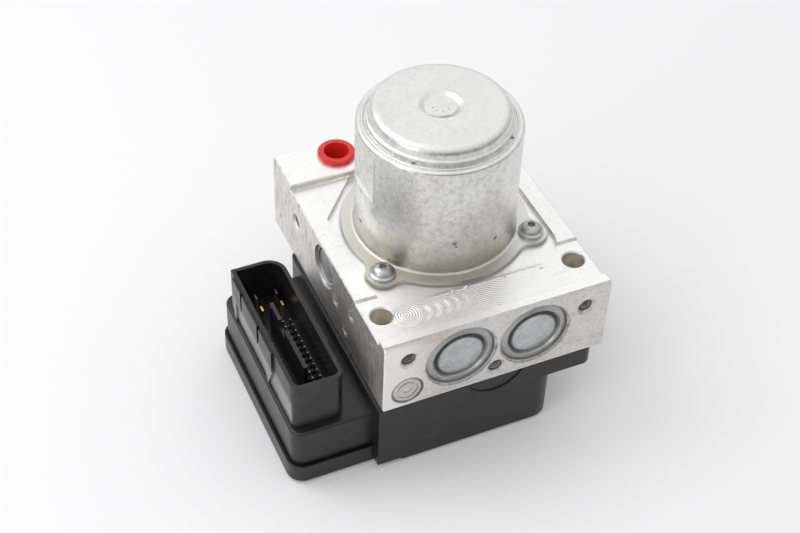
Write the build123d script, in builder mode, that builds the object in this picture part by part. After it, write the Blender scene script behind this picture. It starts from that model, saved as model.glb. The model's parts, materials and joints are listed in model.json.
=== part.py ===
"""Anti-lock brake module: a pump motor on a machined valve block, with the control unit below it.

Millimetres. +Z up, +X to the right, +Y to the rear. The origin is on the motor's axis,
at the underside of the control unit's cover, where the module stands.
"""

import os
from math import cos, radians, sin

from build123d import *

# Fits between pieces, as radial or face gaps
slip = 0.05  # a piece held fast in a bore
running = 0.05  # a shaft or plunger that moves in its bore
clear = 0.3  # curved faces that don't fit one another
over = 1.0  # how far a cutting tool runs past the face it enters
edge_break = 0.5  # the small chamfer on turned and moulded edges

# Control unit below the block: heights above the floor
unit_height = 35.0
cover_thickness = 2.5
skirt_height = 10.0
flange_drop = 9.0
shelf_height = 29.0
wall = 2.5

# Control unit: plan sizes, measured from the block's left and front faces
unit_left_gap = 1.5
unit_width = 80.5
unit_depth = 101.0
unit_corner = 8.0
unit_rear_corner = 5.0
flange_right_inset = 4.0
flange_rear_reach = 10.0
flange_rear_inset = 6.0
flange_corner = 4.0
wing_reach = 37.3
wing_front_gap = 4.5
wing_depth = 88.5
wing_corner = 7.0
skirt_proud = 1.5
skirt_slope_start = 3.0
skirt_slope_end = 10.0
gutter_width = 0.7
gutter_depth = 1.6
shelf_round = 1.2
front_recess_radius = 14.0
front_recess_depth = 0.5
cover_chamfer = 1.5
window_corner = 6.0
window_margin = 2.0
unit_screw_radius = 2.5
unit_screw_depth = 11.0
unit_screw_inset = 7.5
unit_head_radius = 4.5
unit_head_height = 4.0

# Valve block: plan sizes and the heights of its steps above its underside
block_width = 100.0
block_depth = 122.4
motor_to_front = 63.35
milled_height = 33.8
front_lip_height = 36.4
front_lip_depth = 6.0
front_lip_bevel = 1.4
land_height = 34.8
land_start = 30.0
rear_strip_height = 37.7
rear_strip_depth = 21.3
pocket_height = 32.9
pocket_side_gap = 2.8
pocket_front_gap = 22.3
pocket_front_corner = 14.0
pocket_rear_corner = 10.0
pocket_side_length = 57.0
pocket_rear_half_width = 23.0
pocket_relief = 0.8
block_edge = 0.5

# Motor can
can_radius = 33.8
can_wall = 2.0
can_height = 62.1
plateau_height = 7.1
plateau_radius = 28.0
plateau_draft = 1.0
plateau_round = 3.5
plateau_step = 0.8
plateau_step_height = 2.2
shoulder_round = 1.4
bead_radius = 0.6
bead_inset = 2.7
foot_round = 1.5
boss_radius = 8.9
boss_disc_radius = 6.5
boss_drop = 1.1
boss_lip = 0.4
flat_depth = 1.3
flat_start = 29.0
flat_top_gap = 2.0
flat_arch = 4.0
flange_radius = 39.2
flange_thickness = 2.0
ear_circle = 40.7
ear_radius = 6.8
ear_blend = 9.0
ear_angles = (-145.5, -34.5, 90.0)
stake_count = 4
stake_radius = 0.9
stake_depth = 0.8
dot_radius = 0.35
dot_depth = 0.4
dot_circle = 3.6
dot_angles = (-55.0, -102.0, -141.0, 180.0)
punch_width = 2.4
punch_height = 0.8
punch_depth = 0.7
punch_marks = ((180.0, 28.0), (-179.0, 12.0), (-69.0, 13.0))  # angle round the can, height above its seat

# Motor screws
motor_screw_length = 10.0
washer_radius = 5.3
washer_thickness = 1.2
head_radius = 4.4
head_height = 3.2
head_shoulder = 0.8
socket_depth = 2.0
lobe_count = 6
lobe_circle = 1.35
lobe_radius = 0.55

# Motor inside
magnet_thickness = 6.0
magnet_count = 4
magnet_arc = 68.0
magnet_start = 22.0
magnet_top_gap = 1.0
air_gap = 0.8
core_inset = 4.0
core_slots = 10
slot_width = 5.4
slot_mouth = 1.6
tooth_tip = 2.0
hub_radius = 9.5
winding_overhang = 4.0
winding_round = 1.0
commutator_radius = 9.0
commutator_start = 9.5
commutator_height = 12.0
commutator_slot_depth = 1.0
commutator_slot_width = 0.5
shaft_radius = 4.0
shield_recess = 0.5
ball_bearing_radius = 11.0
ball_bearing_width = 7.0
top_bearing_radius = 8.0
top_bearing_width = 5.0
end_plate_thickness = 3.0
end_plate_boss_drop = 3.5
end_plate_lip = 1.0
end_plate_lip_inset = 2.0
end_plate_rim = 1.5
brush_plate_thickness = 2.5
brush_width = 6.0
brush_height = 8.0
brush_length = 12.0
brush_box_wall = 1.2
brush_box_overhang = 3.0
motor_plug_from_axis = 26.5
motor_plug_radius = 3.1
motor_pin_radius = 0.6
motor_pin_spacing = 3.0

# Pump
pump_height = 24.0
chamber_radius = 14.0
chamber_floor = 9.0
eccentricity = 1.6
eccentric_radius = 6.5
eccentric_height = 9.0
roller_ring_radius = 10.0
plunger_radius = 3.25
plunger_length = 22.0
plunger_collar_radius = 4.9
plunger_collar_width = 2.0
plunger_travel = 1.75
plunger_tip_gap = 0.15
plunger_tip_chamfer = 0.6
barrel_radius = 7.0
barrel_guide_length = 14.0
barrel_inset = 1.0
barrel_chamfer = 1.0
barrel_floor_thickness = 1.0
spring_bore_radius = 5.4
pump_spring_radius = 4.5
pump_wire_radius = 0.5
pump_spring_turns = 4
pump_cap_radius = 9.7
pump_cap_recess = 1.0
pump_cap_width = 5.0
pump_cap_rim = 1.6
pump_cap_dish = 0.6

# Accumulators
accumulator_spacing = 32.8
accumulator_height = 19.2
accumulator_radius = 12.5
accumulator_depth = 28.0
cap_radius = 15.0
cap_recess = 0.5
cap_flange_width = 2.6
cap_spigot_width = 2.0
cap_mouth = 0.6
cap_fall = 1.1
cap_dish_radius = 11.6
cap_dish_depth = 2.0
cap_rim = 0.9
crescent_radius = 5.0
crescent_reach = 11.2
crescent_depth = 0.7
crescent_angles = (-115.0, 5.0, 125.0)
piston_width = 9.0
piston_wall = 2.6
piston_chamfer = 0.6
seal_section = 2.2
seal_depth = 1.6
seal_edge = 2.0
accumulator_spring_radius = 7.6
accumulator_wire_radius = 0.9
accumulator_spring_turns = 4

# Valves, in two rows of four
valve_pitch = 18.0
valve_rows = (-22.35, 22.35)
valve_from_left = 12.0
valve_columns = 4
valve_seat_radius = 5.0
valve_seat_depth = 12.0
valve_flange_radius = 5.8
valve_flange_depth = 3.0
valve_tube_radius = 3.6
valve_tube_length = 14.0
valve_tube_wall = 0.6
armature_length = 10.0
armature_floor_gap = 0.3
armature_radius = valve_tube_radius - valve_tube_wall - running
valve_pin_radius = 0.9
valve_pin_taper = 0.5
valve_nose = 3.0
valve_chamfer = 0.8
valve_stroke = 0.3
coil_radius = 8.0
coil_height = 13.0
coil_wall = 1.2
coil_mouth = 1.0

# Threaded holes and ports
screw_hole_radius = 2.6
screw_hole_chamfer = 1.6
screw_hole_depth = 10.0
front_hole_depths = (10.0, 12.0, 11.0)
front_hole_from_side = 10.8
front_hole_height = 26.1
middle_hole_height = 6.4
side_hole_from_front = 95.3
side_hole_height = 22.1
port_radius = 4.55
port_chamfer = 0.5
port_depth = 10.0
port_passage_radius = 1.75
port_passage_depth = 5.0
port_from_side = 7.2
port_from_front = 19.8
rear_port_spacing = 48.0
rear_port_from_rear = 8.9
rear_port_radius = 6.4
rear_port_depth = 12.0
plug_flange_radius = 8.2
plug_flange_thickness = 2.0
plug_bore_radius = 5.5
plug_skirt_length = 9.0
plug_floor = 1.5
plug_taper = 0.6

# Small plugs staked into the block
ball_plug_radius = 2.2
ball_plug_depth = 5.2
ball_plug_sink = 0.4
ball_plug_places = ((50.2, 16.0), (33.7, 22.7), (39.8, 8.5))
gallery_plug_radius = 6.8
gallery_plug_depth = 5.0
gallery_plug_height = 9.0
gallery_plug_from_side = 10.5
gallery_plug_sink = 0.2
gallery_dimple_radius = 1.8
gallery_dimple_depth = 0.6
gallery_groove_radius = 3.8
gallery_groove_width = 0.8
gallery_groove_depth = 0.4
gallery_fall = 0.9

# Connector
shroud_left_gap = 2.9
shroud_front_gap = 5.0
shroud_width = 22.0
shroud_depth = 72.5
shroud_height = 24.0
shroud_wall = 1.7
shroud_corner = 4.0
shroud_rear_corner = 8.0
socket_floor = 33.0
partition_width = 1.6
partition_from_left = 10.0
partition_spans = ((12.0, 34.0, 3.0), (34.0, 40.5, 7.0), (40.5, 51.0, 3.0))  # from, to, drop below the rim
ledge_width = 0.7
ledge_top_drop = 0.6
ledge_height = 10.5
left_ledges = ((22.0, 36.2), (38.5, 56.6), (58.3, 68.0))
right_ledges = ((19.0, 30.0), (32.5, 48.0))
lock_rib_from_front = 27.0
lock_rib_half_length = 5.4
lock_rib_drop = 23.0
lock_rib_top_drop = 11.6
lock_rib_width = 0.9
corner_rib_width = 1.4
corner_rib_length = 3.0
pin_width = 0.64
pin_rise = 5.0
pin_pitch = 3.4
pin_first_gap = 6.0
pin_columns = ((6.0, 13), (14.5, 14), (17.7, 14))  # distance from the shroud's left face, and number of pins
collar_radius = 1.1
collar_height = 1.2
blade_width = 0.8
blade_length = 2.8
blade_rise = 8.0
blade_columns = (8.0, 17.0)
blade_rows = (57.5, 65.0)

# Circuit board
board_thickness = 1.6
board_height = 9.0
board_gap = 1.0
post_radius = 3.0
coil_pin_width = 0.8
coil_pin_spacing = 8.0

# Places that several pieces share
block_left = -block_width / 2
block_front = -motor_to_front
block_rear = block_front + block_depth
seat_height = unit_height + pocket_height
pump_level = unit_height + pump_height
can_inner_radius = can_radius - can_wall
can_shoulder_height = can_height - plateau_height
plateau_foot = plateau_radius + plateau_draft + plateau_step
magnet_height = can_shoulder_height - can_wall - magnet_top_gap - magnet_start
core_start = magnet_start + core_inset
core_height = magnet_height - 2 * core_inset
pocket_half_width = flange_radius + pocket_side_gap
valve_first_column = block_left + valve_from_left
motor_plug_place = (valve_first_column + (valve_columns - 1) / 2 * valve_pitch, motor_plug_from_axis)
front_hole_half_spacing = block_width / 2 - front_hole_from_side
bearing_top = can_height - can_wall - boss_drop
board_top = board_height + board_thickness
unit_left = block_left - unit_left_gap
unit_right = unit_left + unit_width
unit_rear = block_front + unit_depth
wing_left = block_left - wing_reach
wing_front = block_front + wing_front_gap
wing_rear = wing_front + wing_depth
cavity_top = unit_height - wall
shroud_left = wing_left + shroud_left_gap
shroud_right = shroud_left + shroud_width
shroud_front = wing_front + shroud_front_gap
shroud_top = shelf_height + shroud_height
milled_top = unit_height + milled_height
strip_top = unit_height + rear_strip_height
land_top = unit_height + land_height
lip_top = unit_height + front_lip_height

os.makedirs("parts", exist_ok=True)


def save(builder, name):
    """Labels a finished sub-part and writes it under its node's name."""
    builder.part.label = name
    export_step(builder.part, f"parts/{name}.step")


def turning_plane(origin, along):
    """A plane that holds an axis: local x is the radius and local y runs along the axis."""
    axis = Vector(*along)
    side = Vector(1, 0, 0) if abs(axis.Z) > 0.5 else Vector(0, 0, 1)
    return Plane(origin=origin, x_dir=side, z_dir=side.cross(axis))


def turn(origin, along, points, mode=Mode.ADD):
    """Turns a closed outline of (radius, distance along the axis) points about an axis."""
    with BuildSketch(turning_plane(origin, along), mode=Mode.PRIVATE) as section:
        with BuildLine():
            Polyline(*points, close=True)
        make_face()
    revolve(section.sketch, axis=Axis(origin, along), mode=mode)


def tube_section(inner, outer, start, end):
    """The outline of a plain ring between two radii and two distances along its axis."""
    return (inner, start), (outer, start), (outer, end), (inner, end)


def on_face(plane, places):
    """Locations at local (x, y) places on a plane."""
    return Locations(*[plane * Location((x, y, 0)) for x, y in places])


front_face = Plane(origin=(0, block_front, unit_height), x_dir=(1, 0, 0), z_dir=(0, -1, 0))
left_face = Plane(origin=(block_left, block_front, unit_height), x_dir=(0, -1, 0), z_dir=(-1, 0, 0))
right_face = Plane(origin=(-block_left, block_front, unit_height), x_dir=(0, 1, 0), z_dir=(1, 0, 0))
underside = Plane(origin=(0, 0, unit_height), x_dir=(1, 0, 0), z_dir=(0, 0, -1))

accumulator_sides = {"left": -accumulator_spacing / 2, "right": accumulator_spacing / 2}
pump_sides = {"left": -1, "right": 1}
ear_places = [(ear_circle * cos(radians(a)), ear_circle * sin(radians(a))) for a in ear_angles]
valve_places = [
    (valve_first_column + column * valve_pitch, row) for row in valve_rows for column in range(valve_columns)
]
port_places = [(side * (block_width / 2 - port_from_side), block_front + port_from_front) for side in (-1, 1)]
rear_port_places = [(side * rear_port_spacing / 2, block_rear - rear_port_from_rear) for side in (-1, 1)]
front_hole_places = [(-front_hole_half_spacing, front_hole_height), (0, middle_hole_height),
                     (front_hole_half_spacing, front_hole_height)]
pin_places = [(shroud_left + x, shroud_front + pin_first_gap + row * pin_pitch)
              for x, count in pin_columns for row in range(count)]
blade_places = [(shroud_left + x, shroud_front + y) for y in blade_rows for x in blade_columns]
post_inset = skirt_proud + wall + post_radius
wing_post_places = [(unit_left - post_radius - skirt_proud, wing_front + post_inset),
                    (wing_left + post_inset, wing_rear - post_inset)]
body_post_x = unit_right - wall - post_radius + over
body_post_places = [(body_post_x, block_front + wall + unit_corner), (body_post_x, 0)]
unit_screw_places = [
    (-block_left - flange_right_inset - unit_screw_inset, block_front + unit_screw_inset),
    (-block_left - flange_right_inset - unit_screw_inset, unit_rear - unit_screw_inset),
    (unit_right - unit_screw_inset, unit_rear + flange_rear_reach / 2),
    (unit_left + flange_rear_inset + unit_screw_inset, unit_rear + flange_rear_reach / 2),
]


def flange_outline(height, extra=0.0):
    """The motor's flange, with each of its three ears blended into the round."""
    with BuildSketch(Plane.XY.offset(height)) as outline:
        Circle(flange_radius + extra)
        with Locations(*ear_places):
            Circle(ear_radius + extra)
        fillet(outline.vertices(), radius=ear_blend)
    return outline.sketch


def pocket_outline():
    """The milled pocket that the motor's flange sits in."""
    front = block_front + pocket_front_gap
    rear = block_rear - rear_strip_depth
    with BuildSketch(Plane.XY.offset(seat_height)) as outline:
        with BuildLine():
            Polyline(
                (-pocket_half_width, front),
                (pocket_half_width, front),
                (pocket_half_width, front + pocket_side_length),
                (pocket_rear_half_width, rear),
                (-pocket_rear_half_width, rear),
                (-pocket_half_width, front + pocket_side_length),
                close=True,
            )
        make_face()
        corners = outline.vertices().group_by(Axis.Y)
        fillet(corners[0], radius=pocket_front_corner)
        fillet(corners[-1] + corners[-2], radius=pocket_rear_corner)
    return outline.sketch


# Valve block: one side profile drawn through, then its pocket, bores and holes
with BuildPart() as valve_block:
    with BuildSketch(Plane.YZ.offset(block_left)) as block_side:
        with BuildLine():
            Polyline(
                (block_front, unit_height),
                (block_rear, unit_height),
                (block_rear, strip_top),
                (block_rear - rear_strip_depth, strip_top),
                (block_rear - rear_strip_depth, land_top),
                (block_front + land_start, land_top),
                (block_front + land_start, milled_top),
                (block_front + front_lip_depth, milled_top),
                (block_front + front_lip_depth, lip_top),
                (block_front, lip_top),
                close=True,
            )
        make_face()
        by_lip = block_side.vertices().sort_by_distance((block_front, lip_top))
        chamfer(by_lip[1:], length=block_edge)
        lip_corner = block_side.vertices().sort_by_distance((block_front, lip_top))[0]
        chamfer(lip_corner, length=front_lip_bevel)
    extrude(amount=block_width)
    chamfer(valve_block.faces().sort_by(Axis.X)[0].edges(), length=block_edge)
    chamfer(valve_block.faces().sort_by(Axis.X)[-1].edges(), length=block_edge)
    extrude(pocket_outline(), amount=rear_strip_height, mode=Mode.SUBTRACT)
    extrude(flange_outline(seat_height, pocket_relief), amount=rear_strip_height, mode=Mode.SUBTRACT)

    # the chamber that the eccentric turns in
    with BuildSketch(Plane.XY.offset(seat_height)):
        Circle(chamber_radius)
    extrude(amount=chamber_floor - pocket_height, mode=Mode.SUBTRACT)

    # pump bores, one from each side, opening into the chamber
    for side in pump_sides.values():
        turn(
            (side * block_width / 2, 0, pump_level),
            (-side, 0, 0),
            (
                (0, -over),
                (pump_cap_radius + slip, -over),
                (pump_cap_radius + slip, pump_cap_recess + pump_cap_width),
                (barrel_radius + slip, pump_cap_recess + pump_cap_width),
                (barrel_radius + slip, block_width / 2 - chamber_radius + over),
                (0, block_width / 2 - chamber_radius + over),
            ),
            mode=Mode.SUBTRACT,
        )

    # accumulator bores from the front
    for x in accumulator_sides.values():
        turn(
            (x, block_front, unit_height + accumulator_height),
            (0, 1, 0),
            (
                (0, -over),
                (cap_radius + slip + cap_mouth, -over),
                (cap_radius + slip + cap_mouth, 0),
                (cap_radius + slip, cap_mouth),
                (cap_radius + slip, cap_recess + cap_flange_width),
                (accumulator_radius, cap_recess + cap_flange_width),
                (accumulator_radius, accumulator_depth),
                (0, accumulator_depth),
            ),
            mode=Mode.SUBTRACT,
        )

    # crescents where the block's metal is staked over the caps
    for x in accumulator_sides.values():
        with BuildSketch(front_face):
            with Locations((x, accumulator_height)):
                with Locations(*[(crescent_reach * cos(radians(a)), crescent_reach * sin(radians(a)))
                                 for a in crescent_angles]):
                    Circle(crescent_radius)
        extrude(amount=-crescent_depth, mode=Mode.SUBTRACT)

    # valve bores from below
    for x, y in valve_places:
        turn(
            (x, y, unit_height),
            (0, 0, 1),
            (
                (0, -over),
                (valve_flange_radius + slip, -over),
                (valve_flange_radius + slip, valve_flange_depth),
                (valve_seat_radius + slip, valve_flange_depth),
                (valve_seat_radius + slip, valve_seat_depth),
                (0, valve_seat_depth),
            ),
            mode=Mode.SUBTRACT,
        )

    # brake pipe ports on the top, with the drilled passage below each
    for x, y in port_places:
        turn(
            (x, y, milled_top),
            (0, 0, -1),
            (
                (0, -over),
                (port_radius + port_chamfer, -over),
                (port_radius + port_chamfer, 0),
                (port_radius, port_chamfer),
                (port_radius, port_depth),
                (port_passage_radius, port_depth + over),
                (port_passage_radius, port_depth + port_passage_depth),
                (0, port_depth + port_passage_depth),
            ),
            mode=Mode.SUBTRACT,
        )
    with Locations(*[(x, y, strip_top) for x, y in rear_port_places]):
        Hole(rear_port_radius, rear_port_depth)

    # threaded holes: three in the front, one in each side, three for the motor, four for the control unit
    for place, depth in zip(front_hole_places, front_hole_depths):
        with on_face(front_face, [place]):
            CounterSinkHole(screw_hole_radius, screw_hole_radius + screw_hole_chamfer, depth, 90)
    for face, along in ((left_face, -1), (right_face, 1)):
        with on_face(face, [(along * side_hole_from_front, side_hole_height)]):
            CounterSinkHole(screw_hole_radius, screw_hole_radius + screw_hole_chamfer, screw_hole_depth, 90)
        with on_face(face, [(along * y, z) for y, z in ball_plug_places]):
            Hole(ball_plug_radius + slip, ball_plug_depth)
    with Locations(*[(x, y, seat_height) for x, y in ear_places]):
        Hole(screw_hole_radius, screw_hole_depth)
    with on_face(underside, [(x, -y) for x, y in unit_screw_places]):
        Hole(unit_screw_radius + slip, unit_screw_depth)
    with on_face(front_face, [(gallery_plug_from_side - block_width / 2, gallery_plug_height)]):
        Hole(gallery_plug_radius + slip, gallery_plug_depth)

    # the motor's plug runs down through the block
    with Locations((*motor_plug_place, seat_height)):
        Hole(motor_plug_radius + slip, pocket_height)
save(valve_block, "valve_block")


# Motor can: a drawn cup with a flange and three ears
with BuildPart() as motor_can:
    extrude(flange_outline(seat_height), amount=flange_thickness)
    # outer form: wall, shoulder with its bead, stepped plateau and the dished boss
    step_top = seat_height + can_shoulder_height + plateau_step_height
    with BuildSketch(Plane.XZ) as can_form:
        with BuildLine():
            Polyline(
                (0, seat_height),
                (can_radius, seat_height),
                (can_radius, seat_height + can_shoulder_height),
                (plateau_foot, seat_height + can_shoulder_height),
                (plateau_foot, step_top),
                (plateau_foot - plateau_step, step_top + edge_break),
                (plateau_radius, seat_height + can_height),
                (0, seat_height + can_height),
                close=True,
            )
        make_face()
        fillet(can_form.vertices().group_by(Axis.Y)[1].sort_by(Axis.X)[-1], radius=shoulder_round)
        fillet(can_form.vertices().group_by(Axis.Y)[-1].sort_by(Axis.X)[-1], radius=plateau_round)
    revolve(axis=Axis.Z)
    flange_top = seat_height + flange_thickness
    foot = motor_can.edges().filter_by_position(Axis.Z, flange_top - over / 2, flange_top + over / 2)
    fillet(foot.filter_by(GeomType.CIRCLE).sort_by(SortBy.LENGTH)[-1], radius=foot_round)
    with BuildSketch(Plane.XZ):
        with Locations((can_radius - bead_inset, seat_height + can_shoulder_height - bead_radius / 3)):
            Circle(bead_radius)
    revolve(axis=Axis.Z)
    turn(
        (0, 0, seat_height + can_height),
        (0, 0, -1),
        (
            (0, -over),
            (boss_radius, -over),
            (boss_radius, 0),
            (boss_disc_radius + boss_lip, boss_drop),
            (boss_disc_radius, boss_drop),
            (boss_disc_radius, boss_drop / 2),
            (0, boss_drop / 2),
        ),
        mode=Mode.SUBTRACT,
    )
    # the pressed flat on the left, from part way up to the shoulder
    with BuildSketch(Plane.YZ.offset(-can_radius - over)):
        with BuildLine():
            flat_half = (can_radius**2 - (can_radius - flat_depth) ** 2) ** 0.5
            flat_top = seat_height + can_shoulder_height - flat_top_gap
            Line((-flat_half, seat_height + flat_start), (flat_half, seat_height + flat_start))
            Line((flat_half, seat_height + flat_start), (flat_half, flat_top - flat_arch))
            ThreePointArc(
                (flat_half, flat_top - flat_arch),
                (0, flat_top),
                (-flat_half, flat_top - flat_arch),
            )
            Line((-flat_half, flat_top - flat_arch), (-flat_half, seat_height + flat_start))
        make_face()
    extrude(amount=flat_depth + over, mode=Mode.SUBTRACT)
    # inside: the drawn wall follows the outside
    turn(
        (0, 0, seat_height),
        (0, 0, 1),
        (
            (0, -over),
            (can_inner_radius, -over),
            (can_inner_radius, can_shoulder_height - can_wall),
            (plateau_radius - can_wall, can_shoulder_height - can_wall),
            (plateau_radius - can_wall - plateau_draft, bearing_top),
            (0, bearing_top),
        ),
        mode=Mode.SUBTRACT,
    )
    # the collar that holds the top bearing
    turn(
        (0, 0, seat_height),
        (0, 0, 1),
        tube_section(
            top_bearing_radius + slip,
            top_bearing_radius + can_wall,
            bearing_top - top_bearing_width,
            bearing_top,
        ),
    )
    # stake marks at the foot of the plateau
    with BuildSketch(Plane.XY.offset(seat_height + can_shoulder_height - stake_depth)):
        with PolarLocations(plateau_foot, stake_count, start_angle=45):
            Circle(stake_radius)
    extrude(amount=2 * stake_depth, mode=Mode.SUBTRACT)
    # punched marks: dots in the boss, and short slots in the wall
    with BuildSketch(Plane.XY.offset(seat_height + can_height - boss_drop / 2)):
        with Locations(*[(dot_circle * cos(radians(a)), dot_circle * sin(radians(a))) for a in dot_angles]):
            Circle(dot_radius)
    extrude(amount=-dot_depth, mode=Mode.SUBTRACT)
    for angle, height in punch_marks:
        outward = (cos(radians(angle)), sin(radians(angle)), 0)
        with BuildSketch(Plane(origin=Vector(*outward) * (can_radius - punch_depth), z_dir=outward)):
            with Locations((0, seat_height + height)):
                Rectangle(punch_width, punch_height)
        extrude(amount=2 * punch_depth, mode=Mode.SUBTRACT)
    with Locations(*[(x, y, seat_height + flange_thickness) for x, y in ear_places]):
        Hole(screw_hole_radius + clear, flange_thickness + over)
save(motor_can, "motor_can")


# Motor screws: pan heads with a washer face and a six-lobed socket
def dome(radius, start, rise, steps=5):
    """Points of a quarter ellipse, from its rim at a start height to its crown on the axis."""
    turns = [radians(90 * step / steps) for step in range(steps + 1)]
    return [(radius * cos(a), start + rise * sin(a)) for a in turns[:-1]] + [(0, start + rise)]


with BuildPart() as motor_screws:
    for x, y in ear_places:
        turn(
            (x, y, seat_height + flange_thickness),
            (0, 0, 1),
            (
                (0, -motor_screw_length),
                (screw_hole_radius - slip, -motor_screw_length),
                (screw_hole_radius - slip, 0),
                (washer_radius, 0),
                (washer_radius, washer_thickness),
                (head_radius, washer_thickness + edge_break),
                *dome(head_radius, washer_thickness + head_shoulder, head_height - head_shoulder),
            ),
        )
    for x, y in ear_places:
        head_top = seat_height + flange_thickness + washer_thickness + head_height
        with BuildSketch(Plane((x, y, head_top))):
            Circle(lobe_circle)
            with PolarLocations(lobe_circle, lobe_count):
                Circle(lobe_radius)
        extrude(amount=-socket_depth, mode=Mode.SUBTRACT)
save(motor_screws, "motor_screws")


# Motor inside: magnets, armature, commutator, shaft and bearings
magnet_inner = can_inner_radius - slip - magnet_thickness
core_radius = magnet_inner - air_gap

with BuildPart() as motor_magnets:
    with BuildSketch(Plane.XY.offset(seat_height + magnet_start)):
        Circle(can_inner_radius - slip)
        Circle(magnet_inner, mode=Mode.SUBTRACT)
        with PolarLocations((can_inner_radius + magnet_inner) / 2, magnet_count, start_angle=45):
            gap_angle = 360 / magnet_count - magnet_arc
            gap_width = (can_inner_radius + magnet_inner) * sin(radians(gap_angle / 2))
            Rectangle(2 * magnet_thickness, gap_width, mode=Mode.SUBTRACT)
    extrude(amount=magnet_height)
save(motor_magnets, "motor_magnets")


def slot_pattern(inner_edge, outer_edge, width):
    """Winding slots round the armature, as rectangles between two radii."""
    with PolarLocations((inner_edge + outer_edge) / 2, core_slots):
        Rectangle(outer_edge - inner_edge, width, mode=Mode.SUBTRACT)


with BuildPart() as armature_core:
    with BuildSketch(Plane.XY.offset(seat_height + core_start)):
        Circle(core_radius)
        Circle(shaft_radius + slip, mode=Mode.SUBTRACT)
        slot_pattern(hub_radius, core_radius - tooth_tip, slot_width)
        slot_pattern(core_radius - tooth_tip - over, core_radius + over, slot_mouth)
    extrude(amount=core_height)
save(armature_core, "armature_core")

winding_inner = hub_radius + clear
winding_outer = core_radius - tooth_tip - clear
with BuildPart() as armature_winding:
    for start in (core_start - winding_overhang, core_start + core_height + clear):
        turn(
            (0, 0, seat_height + start),
            (0, 0, 1),
            (
                (winding_inner, 0),
                (winding_outer - winding_round, 0),
                (winding_outer, winding_round),
                (winding_outer, winding_overhang - clear),
                (winding_inner, winding_overhang - clear),
            ),
        )
    with BuildSketch(Plane.XY.offset(seat_height + core_start - clear)):
        with PolarLocations((winding_inner + winding_outer) / 2, core_slots):
            Rectangle(winding_outer - winding_inner - winding_round, slot_width - 2 * clear)
    extrude(amount=core_height + 2 * clear)
save(armature_winding, "armature_winding")

with BuildPart() as commutator:
    turn((0, 0, seat_height + commutator_start), (0, 0, 1),
         tube_section(shaft_radius + slip, commutator_radius, 0, commutator_height))
    with BuildSketch(Plane.XY.offset(seat_height + commutator_start)):
        with PolarLocations(commutator_radius, core_slots):
            Rectangle(2 * commutator_slot_depth, commutator_slot_width)
    extrude(amount=commutator_height, mode=Mode.SUBTRACT)
save(commutator, "commutator")

shaft_top = seat_height + bearing_top - clear
eccentric_bottom = pump_level - eccentric_height / 2
with BuildPart() as motor_shaft:
    turn(
        (0, 0, eccentric_bottom + eccentric_height),
        (0, 0, 1),
        (
            (0, 0),
            (shaft_radius, 0),
            (shaft_radius, shaft_top - eccentric_bottom - eccentric_height - edge_break),
            (shaft_radius - edge_break, shaft_top - eccentric_bottom - eccentric_height),
            (0, shaft_top - eccentric_bottom - eccentric_height),
        ),
    )
    with BuildSketch(Plane.XY.offset(eccentric_bottom)):
        with Locations((0, eccentricity)):
            Circle(eccentric_radius)
    extrude(amount=eccentric_height)
save(motor_shaft, "motor_shaft")

with BuildPart() as eccentric_bearing:
    turn((0, eccentricity, eccentric_bottom), (0, 0, 1),
         tube_section(eccentric_radius + slip, roller_ring_radius, edge_break, eccentric_height - edge_break))
save(eccentric_bearing, "eccentric_bearing")


def ball_bearing(base, outer, bore, width):
    """A shielded bearing: a ring with a shallow shield recess on each side."""
    middle = (outer + bore) / 2
    quarter = (outer - bore) / 4
    turn(
        (0, 0, base),
        (0, 0, 1),
        (
            (bore, 0),
            (middle - quarter, 0),
            (middle - quarter, shield_recess),
            (middle + quarter, shield_recess),
            (middle + quarter, 0),
            (outer, 0),
            (outer, width),
            (middle + quarter, width),
            (middle + quarter, width - shield_recess),
            (middle - quarter, width - shield_recess),
            (middle - quarter, width),
            (bore, width),
        ),
    )


main_bearing_base = seat_height - end_plate_boss_drop + end_plate_lip
with BuildPart() as main_bearing:
    ball_bearing(main_bearing_base, ball_bearing_radius, shaft_radius + running, ball_bearing_width)
save(main_bearing, "main_bearing")

with BuildPart() as top_bearing:
    ball_bearing(seat_height + bearing_top - top_bearing_width, top_bearing_radius, shaft_radius + running,
                 top_bearing_width - slip)
save(top_bearing, "top_bearing")

# End plate: closes the can, centres the motor in the chamber's mouth and holds the main bearing
boss_outer = chamber_radius - slip
with BuildPart() as end_plate:
    turn(
        (0, 0, seat_height),
        (0, 0, 1),
        (
            (ball_bearing_radius - end_plate_lip_inset, -end_plate_boss_drop),
            (boss_outer, -end_plate_boss_drop),
            (boss_outer, 0),
            (can_inner_radius - clear, 0),
            (can_inner_radius - clear, end_plate_thickness),
            (boss_outer, end_plate_thickness),
            (boss_outer - edge_break, end_plate_thickness + end_plate_rim),
            (ball_bearing_radius + slip, end_plate_thickness + end_plate_rim),
            (ball_bearing_radius + slip, end_plate_lip - end_plate_boss_drop),
            (ball_bearing_radius - end_plate_lip_inset, end_plate_lip - end_plate_boss_drop),
        ),
    )
    with Locations((*motor_plug_place, seat_height + end_plate_thickness)):
        Hole(motor_plug_radius + slip, end_plate_thickness)
save(end_plate, "end_plate")

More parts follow.
